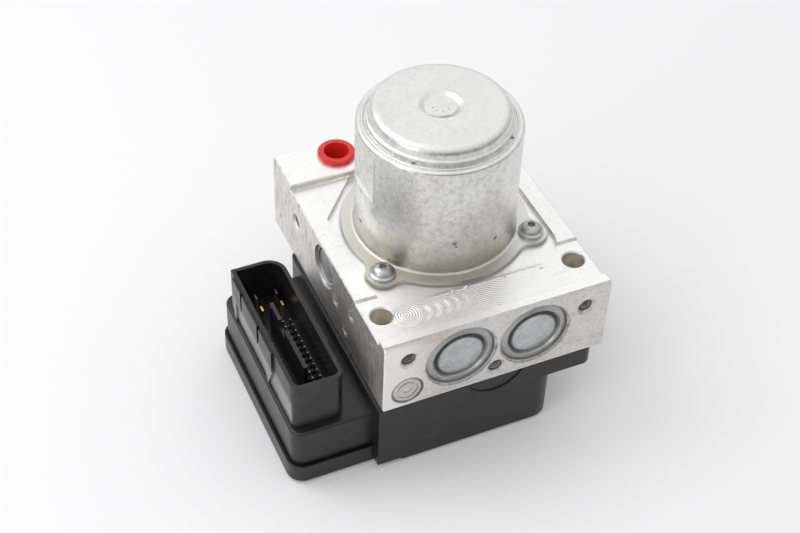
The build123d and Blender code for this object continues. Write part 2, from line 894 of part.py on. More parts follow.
# Brush plate and its two brushes
brush_level = seat_height + end_plate_thickness
brush_centre = commutator_radius + clear + brush_length / 2
brush_base = seat_height + commutator_start + over
brush_box_start = boss_outer + clear
brush_box_end = commutator_radius + clear + brush_length + brush_box_overhang
brush_box_top = brush_base + brush_height + 2 * slip + brush_box_wall
with BuildPart() as brush_plate:
    turn((0, 0, brush_level), (0, 0, 1),
         tube_section(boss_outer + clear, can_inner_radius - clear, 0, brush_plate_thickness))
    for side in pump_sides.values():
        with BuildSketch(Plane.XY.offset(brush_level)):
            with Locations((side * (brush_box_start + brush_box_end) / 2, 0)):
                Rectangle(brush_box_end - brush_box_start, brush_width + 2 * brush_box_wall)
        extrude(amount=brush_box_top - brush_level)
        with BuildSketch(Plane.XY.offset(brush_base)):
            with Locations((side * brush_centre, 0)):
                Rectangle(brush_length + 2 * slip, brush_width + 2 * slip)
        extrude(amount=brush_height + 2 * slip, mode=Mode.SUBTRACT)
save(brush_plate, "brush_plate")

with BuildPart() as brushes:
    with BuildSketch(Plane.XY.offset(brush_base + slip)):
        with Locations((-brush_centre, 0), (brush_centre, 0)):
            Rectangle(brush_length, brush_width)
    extrude(amount=brush_height)
save(brushes, "brushes")

# The motor's plug carries its two pins down to the circuit board
with BuildPart() as motor_plug:
    with BuildSketch(Plane.XY.offset(unit_height)):
        with Locations(motor_plug_place):
            Circle(motor_plug_radius)
            with GridLocations(0, motor_pin_spacing, 1, 2):
                Circle(motor_pin_radius + slip, mode=Mode.SUBTRACT)
    extrude(amount=brush_level - unit_height)
save(motor_plug, "motor_plug")

with BuildPart() as motor_pins:
    with BuildSketch(Plane.XY.offset(board_top)):
        with Locations(motor_plug_place):
            with GridLocations(0, motor_pin_spacing, 1, 2):
                Circle(motor_pin_radius)
    extrude(amount=brush_level - board_top)
save(motor_pins, "motor_pins")


# Pump: on each side a plunger in a barrel, its return spring and a staked cap
def coil_spring(base, along, radius, wire_radius, length, turns):
    """A coil spring along a helix, whose ends lie just inside its length."""
    inset = wire_radius + slip
    start = Vector(*base) + Vector(*along) * inset
    height = length - 2 * inset
    with BuildLine() as path:
        Helix(pitch=height / turns, height=height, radius=radius, center=start, direction=along)
    with BuildSketch(Plane(origin=path.line @ 0, z_dir=path.line % 0)) as section:
        RegularPolygon(wire_radius, 6)
    sweep(section.sketch, path=path.line, is_frenet=True)


plunger_tip = roller_ring_radius + eccentricity + plunger_tip_gap
barrel_start = chamber_radius + barrel_inset
barrel_end = block_width / 2 - pump_cap_recess - pump_cap_width
barrel_floor = barrel_end - barrel_floor_thickness
collar_start = barrel_start + barrel_guide_length + plunger_travel + clear
collar_end = collar_start + plunger_collar_width
pump_spring_length = barrel_floor - collar_end

for name, side in pump_sides.items():
    centre = (0, 0, pump_level)
    outward = (side, 0, 0)
    with BuildPart() as pump_plunger:
        turn(
            centre,
            outward,
            (
                (0, plunger_tip),
                (plunger_radius - plunger_tip_chamfer, plunger_tip),
                (plunger_radius, plunger_tip + plunger_tip_chamfer),
                (plunger_radius, collar_start),
                (plunger_collar_radius, collar_start),
                (plunger_collar_radius, collar_end),
                (plunger_radius, collar_end),
                (plunger_radius, plunger_tip + plunger_length),
                (0, plunger_tip + plunger_length),
            ),
        )
    save(pump_plunger, f"pump_plunger_{name}")

    with BuildPart() as pump_barrel:
        turn(
            centre,
            outward,
            (
                (plunger_radius + running, barrel_start),
                (barrel_radius - barrel_chamfer, barrel_start),
                (barrel_radius, barrel_start + barrel_chamfer),
                (barrel_radius, barrel_end),
                (0, barrel_end),
                (0, barrel_floor),
                (spring_bore_radius, barrel_floor),
                (spring_bore_radius, barrel_start + barrel_guide_length),
                (plunger_radius + running, barrel_start + barrel_guide_length),
            ),
        )
    save(pump_barrel, f"pump_barrel_{name}")

    with BuildPart() as pump_spring:
        coil_spring(
            (side * collar_end, 0, pump_level),
            outward,
            pump_spring_radius,
            pump_wire_radius,
            pump_spring_length,
            pump_spring_turns,
        )
    save(pump_spring, f"pump_spring_{name}")

    with BuildPart() as pump_cap:
        turn(
            (side * block_width / 2, 0, pump_level),
            (-side, 0, 0),
            (
                (0, pump_cap_recess + pump_cap_dish),
                (pump_cap_radius - pump_cap_rim - pump_cap_dish, pump_cap_recess + pump_cap_dish),
                (pump_cap_radius - pump_cap_rim, pump_cap_recess),
                (pump_cap_radius, pump_cap_recess),
                (pump_cap_radius, pump_cap_recess + pump_cap_width),
                (0, pump_cap_recess + pump_cap_width),
            ),
        )
    save(pump_cap, f"pump_cap_{name}")


# Accumulators: on each side a staked cap, a spring and a sealed piston
piston_start = accumulator_depth - clear - piston_width
piston_radius = accumulator_radius - running
for name, x in accumulator_sides.items():
    mouth = (x, block_front, unit_height + accumulator_height)
    inward = (0, 1, 0)
    with BuildPart() as accumulator_cap:
        turn(
            mouth,
            inward,
            (
                (0, cap_recess + cap_dish_depth),
                (cap_dish_radius - slip, cap_recess + cap_dish_depth),
                (cap_dish_radius, cap_recess + cap_rim),
                (cap_dish_radius + cap_rim / 3, cap_recess + cap_rim / 3),
                (cap_dish_radius + cap_rim, cap_recess),
                (cap_radius, cap_recess + cap_fall),
                (cap_radius, cap_recess + cap_flange_width),
                (accumulator_radius - slip, cap_recess + cap_flange_width),
                (accumulator_radius - slip, cap_recess + cap_flange_width + cap_spigot_width),
                (0, cap_recess + cap_flange_width + cap_spigot_width),
            ),
        )
    save(accumulator_cap, f"accumulator_cap_{name}")

    groove_start = piston_start + piston_width - seal_section - seal_edge
    groove_radius = piston_radius - seal_depth
    with BuildPart() as accumulator_piston:
        turn(
            mouth,
            inward,
            (
                (0, piston_start + piston_width - piston_wall),
                (piston_radius - piston_wall, piston_start + piston_width - piston_wall),
                (piston_radius - piston_wall, piston_start),
                (piston_radius, piston_start),
                (piston_radius, groove_start),
                (groove_radius, groove_start),
                (groove_radius, groove_start + seal_section),
                (piston_radius, groove_start + seal_section),
                (piston_radius, piston_start + piston_width - piston_chamfer),
                (piston_radius - piston_chamfer, piston_start + piston_width),
                (0, piston_start + piston_width),
            ),
        )
    save(accumulator_piston, f"accumulator_piston_{name}")

    with BuildPart() as accumulator_seal:
        turn(mouth, inward, tube_section(groove_radius + slip, piston_radius, groove_start + slip,
                                         groove_start + seal_section - slip))
    save(accumulator_seal, f"accumulator_seal_{name}")

    spring_start = cap_recess + cap_flange_width + cap_spigot_width
    spring_length = piston_start + piston_width - piston_wall - spring_start
    with BuildPart() as accumulator_spring:
        coil_spring(
            (x, block_front + spring_start, unit_height + accumulator_height),
            inward,
            accumulator_spring_radius,
            accumulator_wire_radius,
            spring_length,
            accumulator_spring_turns,
        )
    save(accumulator_spring, f"accumulator_spring_{name}")


# Valves: a cartridge with a thin dome below it, and a sliding armature in the dome
def valve_body(x, y):
    """One valve cartridge, seated in the block, with its armature space cut out."""
    armature_bore = armature_radius + running
    turn(
        (x, y, unit_height),
        (0, 0, 1),
        (
            (0, valve_seat_depth - clear),
            (valve_seat_radius - valve_chamfer, valve_seat_depth - clear),
            (valve_seat_radius, valve_seat_depth - valve_chamfer - clear),
            (valve_seat_radius, valve_flange_depth),
            (valve_flange_radius, valve_flange_depth),
            (valve_flange_radius, 0),
            (valve_tube_radius, 0),
            (valve_tube_radius, -valve_tube_length + valve_chamfer),
            (valve_tube_radius - valve_chamfer, -valve_tube_length),
            (0, -valve_tube_length),
            (0, -valve_tube_length + valve_tube_wall),
            (armature_bore, -valve_tube_length + valve_tube_wall + armature_floor_gap - slip),
            (armature_bore, 0),
            (valve_pin_radius + running, 0),
            (valve_pin_radius + running, valve_seat_depth - clear - valve_nose),
            (0, valve_seat_depth - clear - valve_nose),
        ),
    )


for name, row in (("inlet", valve_rows[0]), ("outlet", valve_rows[1])):
    with BuildPart() as valves:
        for x, y in valve_places:
            if y == row:
                valve_body(x, y)
    save(valves, f"{name}_valves")

armature_low = -valve_tube_length + valve_tube_wall + armature_floor_gap
for number, (x, y) in enumerate(valve_places):
    kind = "inlet" if y == valve_rows[0] else "outlet"
    rise = 0.0 if kind == "inlet" else valve_stroke
    pin_top = valve_seat_depth - clear - valve_nose - valve_stroke - slip
    with BuildPart() as armature:
        turn(
            (x, y, unit_height + rise),
            (0, 0, 1),
            (
                (0, armature_low),
                (armature_radius, armature_low),
                (armature_radius, armature_low + armature_length),
                (valve_pin_radius, armature_low + armature_length),
                (valve_pin_radius, pin_top - valve_pin_taper),
                (valve_pin_radius - valve_pin_taper, pin_top),
                (0, pin_top),
            ),
        )
    save(armature, f"{kind}_armature_{number % valve_columns + 1}")

# Coils on the valve domes: a steel yoke round each winding, and two pins down to the board
coil_top = unit_height - clear
coil_bottom = coil_top - coil_height
with BuildPart() as coil_yokes:
    for x, y in valve_places:
        turn(
            (x, y, coil_bottom),
            (0, 0, 1),
            (
                (valve_tube_radius + clear, 0),
                (coil_radius, 0),
                (coil_radius, coil_height),
                (coil_radius - coil_wall, coil_height),
                (coil_radius - coil_wall, coil_wall),
                (valve_tube_radius + clear, coil_wall),
            ),
        )
save(coil_yokes, "coil_yokes")

with BuildPart() as coil_windings:
    for x, y in valve_places:
        turn((x, y, coil_bottom), (0, 0, 1),
             tube_section(valve_tube_radius + clear, coil_radius - coil_wall - slip, coil_wall,
                          coil_height - coil_mouth))
save(coil_windings, "coil_windings")

with BuildPart() as coil_pins:
    with BuildSketch(Plane.XY.offset(board_top)):
        for x, y in valve_places:
            with Locations((x, y)):
                with GridLocations(coil_pin_spacing, 0, 2, 1):
                    Rectangle(coil_pin_width, coil_pin_width)
    extrude(amount=coil_bottom - board_top)
save(coil_pins, "coil_pins")

# Plugs in the block
with BuildPart() as ball_plugs:
    for face, along in ((left_face, -1), (right_face, 1)):
        for y, z in ball_plug_places:
            centre = face.from_local_coords((along * y, z, -ball_plug_radius - ball_plug_sink))
            with Locations(centre):
                Sphere(ball_plug_radius)
save(ball_plugs, "ball_plugs")

gallery_mouth = (gallery_plug_from_side - block_width / 2, block_front + gallery_plug_sink,
                 unit_height + gallery_plug_height)
with BuildPart() as gallery_plug:
    turn(
        gallery_mouth,
        (0, 1, 0),
        (
            (0, gallery_dimple_depth),
            (gallery_dimple_radius, gallery_dimple_depth),
            (gallery_dimple_radius, 0),
            (gallery_groove_radius, 0),
            (gallery_groove_radius, gallery_groove_depth),
            (gallery_groove_radius + gallery_groove_width, gallery_groove_depth),
            (gallery_groove_radius + gallery_groove_width, 0),
            (gallery_plug_radius - gallery_fall, 0),
            (gallery_plug_radius, gallery_fall),
            (gallery_plug_radius, gallery_plug_depth - gallery_plug_sink),
            (0, gallery_plug_depth - gallery_plug_sink),
        ),
    )
save(gallery_plug, "gallery_plug")

# Transport plug: a thin cup with a flange, pushed into the left rear port
with BuildPart() as port_plug:
    turn(
        (*rear_port_places[0], strip_top),
        (0, 0, 1),
        (
            (0, -plug_skirt_length),
            (rear_port_radius - slip - plug_taper, -plug_skirt_length),
            (rear_port_radius - slip, -plug_skirt_length + 2 * plug_taper),
            (rear_port_radius - slip, 0),
            (plug_flange_radius, 0),
            (plug_flange_radius, plug_flange_thickness - edge_break),
            (plug_flange_radius - edge_break, plug_flange_thickness),
            (plug_bore_radius, plug_flange_thickness),
            (plug_bore_radius - plug_taper, -plug_skirt_length + plug_floor),
            (0, -plug_skirt_length + plug_floor),
        ),
    )
save(port_plug, "port_plug")


# Control unit: plan outlines
def unit_outline(inset=0.0):
    """The body under the block, with rounded corners away from the wing."""
    with BuildSketch() as outline:
        with BuildLine():
            Polyline(
                (unit_left + inset, block_front + inset),
                (unit_right - inset, block_front + inset),
                (unit_right - inset, unit_rear - inset),
                (unit_left + inset, unit_rear - inset),
                close=True,
            )
        make_face()
        fillet(outline.vertices().group_by(Axis.X)[-1], radius=unit_corner - inset)
        fillet(outline.vertices().sort_by(Axis.X)[:2].sort_by(Axis.Y)[-1], radius=unit_rear_corner - inset)
    return outline.sketch


def wing_outline(inset=0.0):
    """The part of the unit that stands out to the left and carries the connector."""
    with BuildSketch() as outline:
        with BuildLine():
            Polyline(
                (wing_left + inset, wing_front + inset),
                (unit_left + 2 * wall + inset, wing_front + inset),
                (unit_left + 2 * wall + inset, wing_rear - inset),
                (wing_left + inset, wing_rear - inset),
                close=True,
            )
        make_face()
        fillet(outline.vertices().group_by(Axis.X)[0], radius=wing_corner - inset)
    return outline.sketch


def skirt_outline():
    """The lower rim: round the wing, then sloping out to the body's front face."""
    with BuildSketch() as outline:
        with BuildLine():
            Polyline(
                (wing_left, wing_front),
                (block_left + skirt_slope_start, wing_front),
                (block_left + skirt_slope_end, block_front),
                (unit_right, block_front),
                (unit_right, unit_rear),
                (unit_left, unit_rear),
                (unit_left, wing_rear),
                (wing_left, wing_rear),
                close=True,
            )
        make_face()
        fillet(outline.vertices().group_by(Axis.X)[0], radius=wing_corner)
        fillet(outline.vertices().group_by(Axis.X)[-1], radius=unit_corner)
        fillet(outline.vertices().group_by(Axis.Y)[-1].sort_by(Axis.X)[0], radius=unit_rear_corner)
        front = outline.vertices().filter_by_position(Axis.Y, block_front, wing_front)
        slope = front.filter_by_position(Axis.X, block_left, block_left + skirt_slope_end)
        fillet(slope, radius=skirt_slope_start)
    return outline.sketch


def shroud_outline(inset=0.0):
    """The connector's shroud, with one larger corner that keys the plug."""
    back = shroud_front + shroud_depth
    with BuildSketch() as outline:
        with BuildLine():
            Polyline(
                (shroud_left + inset, shroud_front + inset),
                (shroud_right - inset, shroud_front + inset),
                (shroud_right - inset, back - inset),
                (shroud_left + inset, back - inset),
                close=True,
            )
        make_face()
        rear = outline.vertices().group_by(Axis.Y)[-1].sort_by(Axis.X)
        fillet(rear[-1], radius=shroud_rear_corner - inset)
        fillet(rear[0], radius=shroud_corner - inset)
        fillet(outline.vertices().group_by(Axis.Y)[0], radius=shroud_corner - inset)
    return outline.sketch


def raise_outline(outline, bottom, top, mode=Mode.ADD):
    """Raises a plan outline into the part between two heights."""
    extrude(outline.moved(Location((0, 0, bottom))), amount=top - bottom, mode=mode)


with BuildPart() as control_housing:
    raise_outline(unit_outline(), cover_thickness, unit_height)
    raise_outline(wing_outline(skirt_proud), cover_thickness, shelf_height)
    raise_outline(skirt_outline(), cover_thickness, skirt_height)
    # the flange that the block sits on
    with BuildSketch(Plane.XY.offset(unit_height - flange_drop)) as flange:
        with BuildLine():
            Polyline(
                (unit_left, block_front),
                (-block_left - flange_right_inset, block_front),
                (-block_left - flange_right_inset, unit_rear + flange_rear_reach),
                (unit_left + flange_rear_inset, unit_rear + flange_rear_reach),
                (unit_left + flange_rear_inset, unit_rear - unit_rear_corner),
                (unit_left, unit_rear - unit_rear_corner),
                close=True,
            )
        make_face()
        fillet(flange.vertices().group_by(Axis.X)[-1], radius=flange_corner)
        fillet(flange.vertices().group_by(Axis.Y)[-1].sort_by(Axis.X)[0], radius=flange_corner)
    extrude(amount=flange_drop)
    # gutter between the skirt's rim and the wing
    raise_outline(wing_outline(skirt_proud - gutter_width), skirt_height - gutter_depth, skirt_height,
                  mode=Mode.SUBTRACT)
    raise_outline(wing_outline(skirt_proud), skirt_height - gutter_depth, shelf_height)
    raise_outline(unit_outline(), skirt_height - gutter_depth, unit_height)
    shelf_edges = control_housing.edges().filter_by_position(Axis.Z, shelf_height - edge_break,
                                                             shelf_height + edge_break)
    shelf_edges = shelf_edges.filter_by_position(Axis.X, wing_left, unit_left - edge_break)
    fillet(shelf_edges, radius=shelf_round)
    raise_outline(shroud_outline(), shelf_height - over, shroud_top)

    # shallow round recess in the front, about the block's middle hole
    with BuildSketch(front_face):
        with Locations((0, middle_hole_height)):
            Circle(front_recess_radius)
    extrude(amount=-front_recess_depth, mode=Mode.SUBTRACT)

    # hollow inside, open below
    raise_outline(unit_outline(wall), 0, cavity_top, mode=Mode.SUBTRACT)
    raise_outline(wing_outline(skirt_proud + wall), 0, shelf_height - wall, mode=Mode.SUBTRACT)

    # posts that the circuit board rests against
    for places, top in ((wing_post_places, shelf_height), (body_post_places, unit_height)):
        with BuildSketch(Plane.XY.offset(board_top)):
            with Locations(*places):
                Circle(post_radius)
        extrude(amount=top - wall - board_top)

    # window under the valves
    with BuildSketch(Plane.XY.offset(cavity_top)):
        valve_span = valve_pitch * (valve_columns - 1)
        window_reach = 2 * (coil_radius + window_margin)
        with Locations((valve_first_column + valve_span / 2, 0)):
            RectangleRounded(
                valve_span + window_reach,
                valve_rows[1] - valve_rows[0] + window_reach,
                window_corner,
            )
    extrude(amount=wall, mode=Mode.SUBTRACT)

    # connector socket
    raise_outline(shroud_outline(shroud_wall), socket_floor, shroud_top, mode=Mode.SUBTRACT)
    for start, end, drop in partition_spans:
        with BuildSketch(Plane.XY.offset(socket_floor)):
            with Locations((shroud_left + partition_from_left, shroud_front + start)):
                Rectangle(partition_width, end - start, align=(Align.CENTER, Align.MIN))
        extrude(amount=shroud_top - drop - socket_floor)
    with BuildSketch(Plane.XY.offset(socket_floor)):
        with Locations(*pin_places):
            Circle(collar_radius)
    extrude(amount=collar_height)

    # outside of the shroud: ledges below the rim, the plug's lock rib and the corner rib
    ledge_bottom = shroud_top - ledge_top_drop - ledge_height
    for spans, outer_x in ((left_ledges, shroud_left - ledge_width / 2), (right_ledges, shroud_right)):
        with BuildSketch(Plane.XY.offset(ledge_bottom)):
            for start, end in spans:
                with Locations((outer_x, shroud_front + start)):
                    Rectangle(2 * ledge_width, end - start, align=(Align.CENTER, Align.MIN))
        extrude(amount=ledge_height)
    with BuildSketch(Plane.YZ.offset(shroud_left - lock_rib_width)):
        with BuildLine():
            Polyline(
                (shroud_front + lock_rib_from_front, shroud_top - lock_rib_drop),
                (shroud_front + lock_rib_from_front + lock_rib_half_length, shroud_top - lock_rib_top_drop),
                (shroud_front + lock_rib_from_front - lock_rib_half_length, shroud_top - lock_rib_top_drop),
                close=True,
            )
        make_face()
    extrude(amount=lock_rib_width)
    with BuildSketch(Plane.XY.offset(shelf_height)):
        with Locations((shroud_left, shroud_front + shroud_depth - shroud_corner)):
            Rectangle(corner_rib_width, corner_rib_length, align=(Align.CENTER, Align.MAX))
    extrude(amount=shroud_height - ledge_top_drop)

    # pin holes through the socket's floor
    with BuildSketch(Plane.XY.offset(shelf_height - wall)):
        with Locations(*pin_places):
            Rectangle(pin_width + 2 * slip, pin_width + 2 * slip)
        with Locations(*blade_places):
            Rectangle(blade_width + 2 * slip, blade_length + 2 * slip)
    extrude(amount=socket_floor + collar_height - shelf_height + wall, mode=Mode.SUBTRACT)

    # screw holes in the flange
    with Locations(*[(x, y, unit_height) for x, y in unit_screw_places]):
        Hole(unit_screw_radius + clear, flange_drop)
save(control_housing, "control_housing")

with BuildPart() as control_cover:
    raise_outline(skirt_outline(), 0, cover_thickness)
    chamfer(control_cover.edges().group_by(Axis.Z)[0], length=cover_chamfer)
save(control_cover, "control_cover")

with BuildPart() as circuit_board:
    raise_outline(unit_outline(wall + board_gap), board_height, board_top)
    raise_outline(wing_outline(skirt_proud + wall + board_gap), board_height, board_top)
save(circuit_board, "circuit_board")

with BuildPart() as signal_pins:
    with BuildSketch(Plane.XY.offset(board_top)):
        with Locations(*pin_places):
            Rectangle(pin_width, pin_width)
    extrude(amount=socket_floor + pin_rise - board_top)
save(signal_pins, "signal_pins")

with BuildPart() as power_blades:
    with BuildSketch(Plane.XY.offset(board_top)):
        with Locations(*blade_places):
            Rectangle(blade_width, blade_length)
    extrude(amount=socket_floor + blade_rise - board_top)
save(power_blades, "power_blades")

with BuildPart() as unit_screws:
    for x, y in unit_screw_places:
        turn(
            (x, y, unit_height - flange_drop),
            (0, 0, 1),
            (
                (0, -unit_head_height),
                (unit_head_radius - edge_break, -unit_head_height),
                (unit_head_radius, -unit_head_height + edge_break),
                (unit_head_radius, 0),
                (unit_screw_radius, 0),
                (unit_screw_radius, flange_drop + unit_screw_depth - over),
                (0, flange_drop + unit_screw_depth - over),
            ),
        )
save(unit_screws, "unit_screws")
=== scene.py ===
"""The looks of the anti-lock brake module: its camera, studio, finishes and fine surface details."""
import json
from math import cos, pi, radians, sin

import bmesh
import bpy
from mathutils import Matrix, Vector


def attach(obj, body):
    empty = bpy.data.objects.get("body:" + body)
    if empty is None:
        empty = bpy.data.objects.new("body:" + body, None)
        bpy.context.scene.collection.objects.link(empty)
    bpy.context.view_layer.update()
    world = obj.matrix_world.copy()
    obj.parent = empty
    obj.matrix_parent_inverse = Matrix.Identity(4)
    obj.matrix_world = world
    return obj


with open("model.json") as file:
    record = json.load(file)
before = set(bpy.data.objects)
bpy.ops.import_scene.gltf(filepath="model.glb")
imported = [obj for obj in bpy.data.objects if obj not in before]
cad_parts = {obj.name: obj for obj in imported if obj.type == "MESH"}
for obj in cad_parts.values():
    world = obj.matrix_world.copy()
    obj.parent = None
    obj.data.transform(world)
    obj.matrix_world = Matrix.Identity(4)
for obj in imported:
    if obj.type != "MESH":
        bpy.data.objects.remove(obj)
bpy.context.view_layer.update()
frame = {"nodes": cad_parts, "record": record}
cad_nodes = frame["nodes"]
scene = bpy.context.scene
scene.view_settings.view_transform = "Standard"

MM = 0.001

# Where the photograph was taken from, about a point near the block's middle
VIEW_AZIMUTH = radians(-25.43)
VIEW_ELEVATION = radians(44.2)
VIEW_ROLL = radians(2.39)
VIEW_TARGET = Vector((-9.89, 10.71, 35.0)) * MM
VIEW_DISTANCE = 686.2 * MM
VIEW_LENS = 70.6

# The studio: its room from low in front to high behind, its lamps (place, size, watts) and its table
ROOM_GLOW = (
    (0.0, (0.06, 0.06, 0.06)),
    (0.30, (0.26, 0.26, 0.27)),
    (0.56, (0.70, 0.70, 0.70)),
    (0.86, (1.0, 1.0, 1.0)),
)
ROOM_STRENGTH = 1.06
LAMPS = {
    "key": ((-0.75, 0.60, 1.25), 0.8, 6.0),
    "left_fill": ((-1.00, -0.35, 0.50), 0.6, 2.2),
}
LAMP_TARGET = (0, 0, 0.05)
FLOOR_HALF = 3.0
FLOOR_TONE = (0.77, 0.77, 0.78)
FLOOR_LIFT = 0.08

# The block's faces, and the places of its ports, caps, plugs and holes
BLOCK_FRONT = -63.35 * MM
BLOCK_SIDE = 50.0 * MM
MILLED_TOP = 68.8 * MM
LIP_REAR = -57.35 * MM
POCKET_FRONT = -41.4 * MM
PORT = (42.8 * MM, -43.55 * MM)
PORT_EDGE = 4.6 * MM
PLUG = (-39.5 * MM, 44.0 * MM)
PLUG_EDGE = 6.8 * MM
CAP_FROM_MIDDLE = 16.4 * MM
CAP_HEIGHT = 54.2 * MM
CAP_DISC = 11.2 * MM
CAP_EDGE = 15.2 * MM
CAP_SHADE_RIGHT = 0.95 * MM
CAP_SHADE_DOWN = 2.1 * MM
BALL_PLUGS = ((-13.15 * MM, 51.0 * MM), (-29.65 * MM, 57.7 * MM), (-23.55 * MM, 43.5 * MM))
FRONT_HOLES = ((-39.2 * MM, 61.1 * MM), (0.0, 41.4 * MM), (39.2 * MM, 61.1 * MM))
SIDE_HOLE = (31.95 * MM, 57.1 * MM)
HOLE_WALL = (2.42 * MM, 3.1 * MM)
FRONT_SHADE_FROM = 1.1 * MM
FRONT_SHADE_TO = 12.5 * MM
SIDE_SHADE_TO = 11.0 * MM
STAKE_REACH = 4.4 * MM
STAKE_UNEVEN = 2.4 * MM

# The threads in those holes: a triangle of this half width, from the bore's wall to the crest
THREAD_PITCH = 1.0 * MM
THREAD_HALF = 0.42 * MM
THREAD_ROOT = 2.7 * MM
THREAD_CREST = 2.3 * MM
THREAD_START = 1.7 * MM
THREAD_TURNS = 7
THREAD_STEPS = 24

# What the cutter left on the milled strip: burrs (x, y, radius), and rings (inner, outer, pitch) about the
# centres of a swirl, of a row of crescents and of a toothed patch
BURRS = (
    (-10.8 * MM, -41.6 * MM, 1.0 * MM),
    (-5.0 * MM, -41.5 * MM, 1.1 * MM),
    (12.1 * MM, -41.6 * MM, 0.9 * MM),
    (28.2 * MM, -43.0 * MM, 0.7 * MM),
)
SWIRL = (-33.7 * MM, -46.6 * MM)
SWIRL_RINGS = (0.8 * MM, 6.5 * MM, 1.1 * MM)
CRESCENT = (-1.5 * MM, -47.5 * MM)
CRESCENT_RINGS = (3.6 * MM, 5.4 * MM, 0.9 * MM)
CRESCENT_STEP = 4.2 * MM
CRESCENTS_LEFT = -27.0 * MM
CRESCENTS_RIGHT = -6.0 * MM
TEETH = (-2.4 * MM, -75.0 * MM)
TEETH_RINGS = (17 * MM, 40 * MM, 1.0 * MM)
TEETH_LEFT = -7 * MM
TEETH_RIGHT = 12 * MM
WAVY_EDGE_LEFT = -20 * MM
WAVY_EDGE_RIGHT = 29 * MM

# The motor's seat and flange with its ears, the brown cloud and the flat on its can, and the can's dark
# marks (x, y, z, radius)
SEAT = 67.9 * MM
FLANGE_RADIUS = 39.2 * MM
EAR_CIRCLE = 40.7 * MM
EAR_RADIUS = 6.8 * MM
EAR_BLEND = 5.0 * MM
EAR_ANGLES = (-145.5, -34.5, 90.0)
FLANGE_DIRT_AND_SHADE_WIDTH = 1.5 * MM
BROWN_LOW = 72 * MM
BROWN_HIGH = 104 * MM
FLAT_HALF = 9.3 * MM
FLAT_LOW = 97 * MM
FLAT_HIGH = 118 * MM
CAN_MARKS = (
    (-7.0 * MM, -33.1 * MM, 86.0 * MM, 0.9 * MM),
    (-6.4 * MM, -33.2 * MM, 84.2 * MM, 0.5 * MM),
    (11.8 * MM, -31.7 * MM, 81.4 * MM, 1.0 * MM),
    (12.6 * MM, -31.4 * MM, 83.0 * MM, 0.3 * MM),
    (-33.8 * MM, 0.9 * MM, 98.7 * MM, 0.7 * MM),
    (-33.8 * MM, 0.3 * MM, 79.7 * MM, 0.8 * MM),
    (-0.6 * MM, -33.8 * MM, 97.9 * MM, 0.2 * MM),
)

# The connector: its outer faces, the band of its left side with a painted sheen, and the round mark that the
# mould's gate left in front
SOCKET_LEFT = -84.4 * MM
SOCKET_FRONT = -53.85 * MM
SHEEN_LOW = 31.5 * MM
SHEEN_HIGH = 42.5 * MM
GATE_MARK = (-74.8 * MM, 40.5 * MM)
GATE_RING = (0.9 * MM, 1.3 * MM)

# Tones of the block
TOP_METAL = (0.94, 0.94, 0.935)
SIDE_DARK = (0.70, 0.675, 0.65)
SIDE_PALE = (0.80, 0.785, 0.765)
STREAK_BROWN = (0.50, 0.40, 0.34)
CHIP_DARK = (0.30, 0.27, 0.25)
SCRATCH_GREY = (0.42, 0.40, 0.38)
MOTTLE_GREY = (0.45, 0.43, 0.41)
HOLE_SHADE = (0.08, 0.07, 0.065)
SCORE_DARK = (0.26, 0.24, 0.22)
SCORE_PALE = (0.95, 0.94, 0.93)
STAKED_METAL = (1.0, 0.985, 0.97)
FRONT_LIGHT_PAINT = (0.98, 0.965, 0.95)
CAP_AND_PLUG_DARK = (0.20, 0.18, 0.17)
FLANGE_DIRT_AND_SHADE = (0.24, 0.22, 0.20)
PORT_WALL = (0.80, 0.76, 0.68)
LIP_SHADE = (0.30, 0.28, 0.27)
EDGE_SHADE = (0.36, 0.34, 0.33)

# Tones of the motor can
ZINC_DARK = (0.76, 0.76, 0.74)
ZINC_PALE = (0.86, 0.86, 0.845)
ZINC_TOP = (0.78, 0.78, 0.765)
ZINC_GREEN = (0.62, 0.63, 0.50)
FOOT_SHADE = (0.36, 0.33, 0.26)
FLANGE_GREY = (0.50, 0.49, 0.47)
CLOUD_BROWN = (0.60, 0.50, 0.44)
STAIN_BROWN = (0.42, 0.37, 0.31)
LEFT_SIDE_SHADE = (0.40, 0.40, 0.39)
PIT_DARK = (0.20, 0.19, 0.17)
WALL_BLOTCH = (0.42, 0.41, 0.38)
TOP_BLOTCH = (0.66, 0.66, 0.64)

# Tones of the caps, and of smaller steel pieces' stains
DISC_DARK = (0.50, 0.52, 0.53)
DISC_PALE = (0.66, 0.68, 0.68)
RING_GREY = (0.40, 0.40, 0.39)
RIM_SHADE = (0.05, 0.05, 0.048)
SIDE_CAP_GREY = (0.28, 0.28, 0.27)
CAP_FLECK = (0.30, 0.31, 0.31)
CAP_STAIN = (0.26, 0.25, 0.24)
STEEL_STAIN = (0.30, 0.26, 0.22)

# Tones of the black plastic
BLACK_DARK = (0.009, 0.009, 0.010)
BLACK_PALE = (0.018, 0.018, 0.019)
BLACK_SHEEN = (0.34, 0.34, 0.345)
BLACK_DUST = (0.16, 0.16, 0.155)


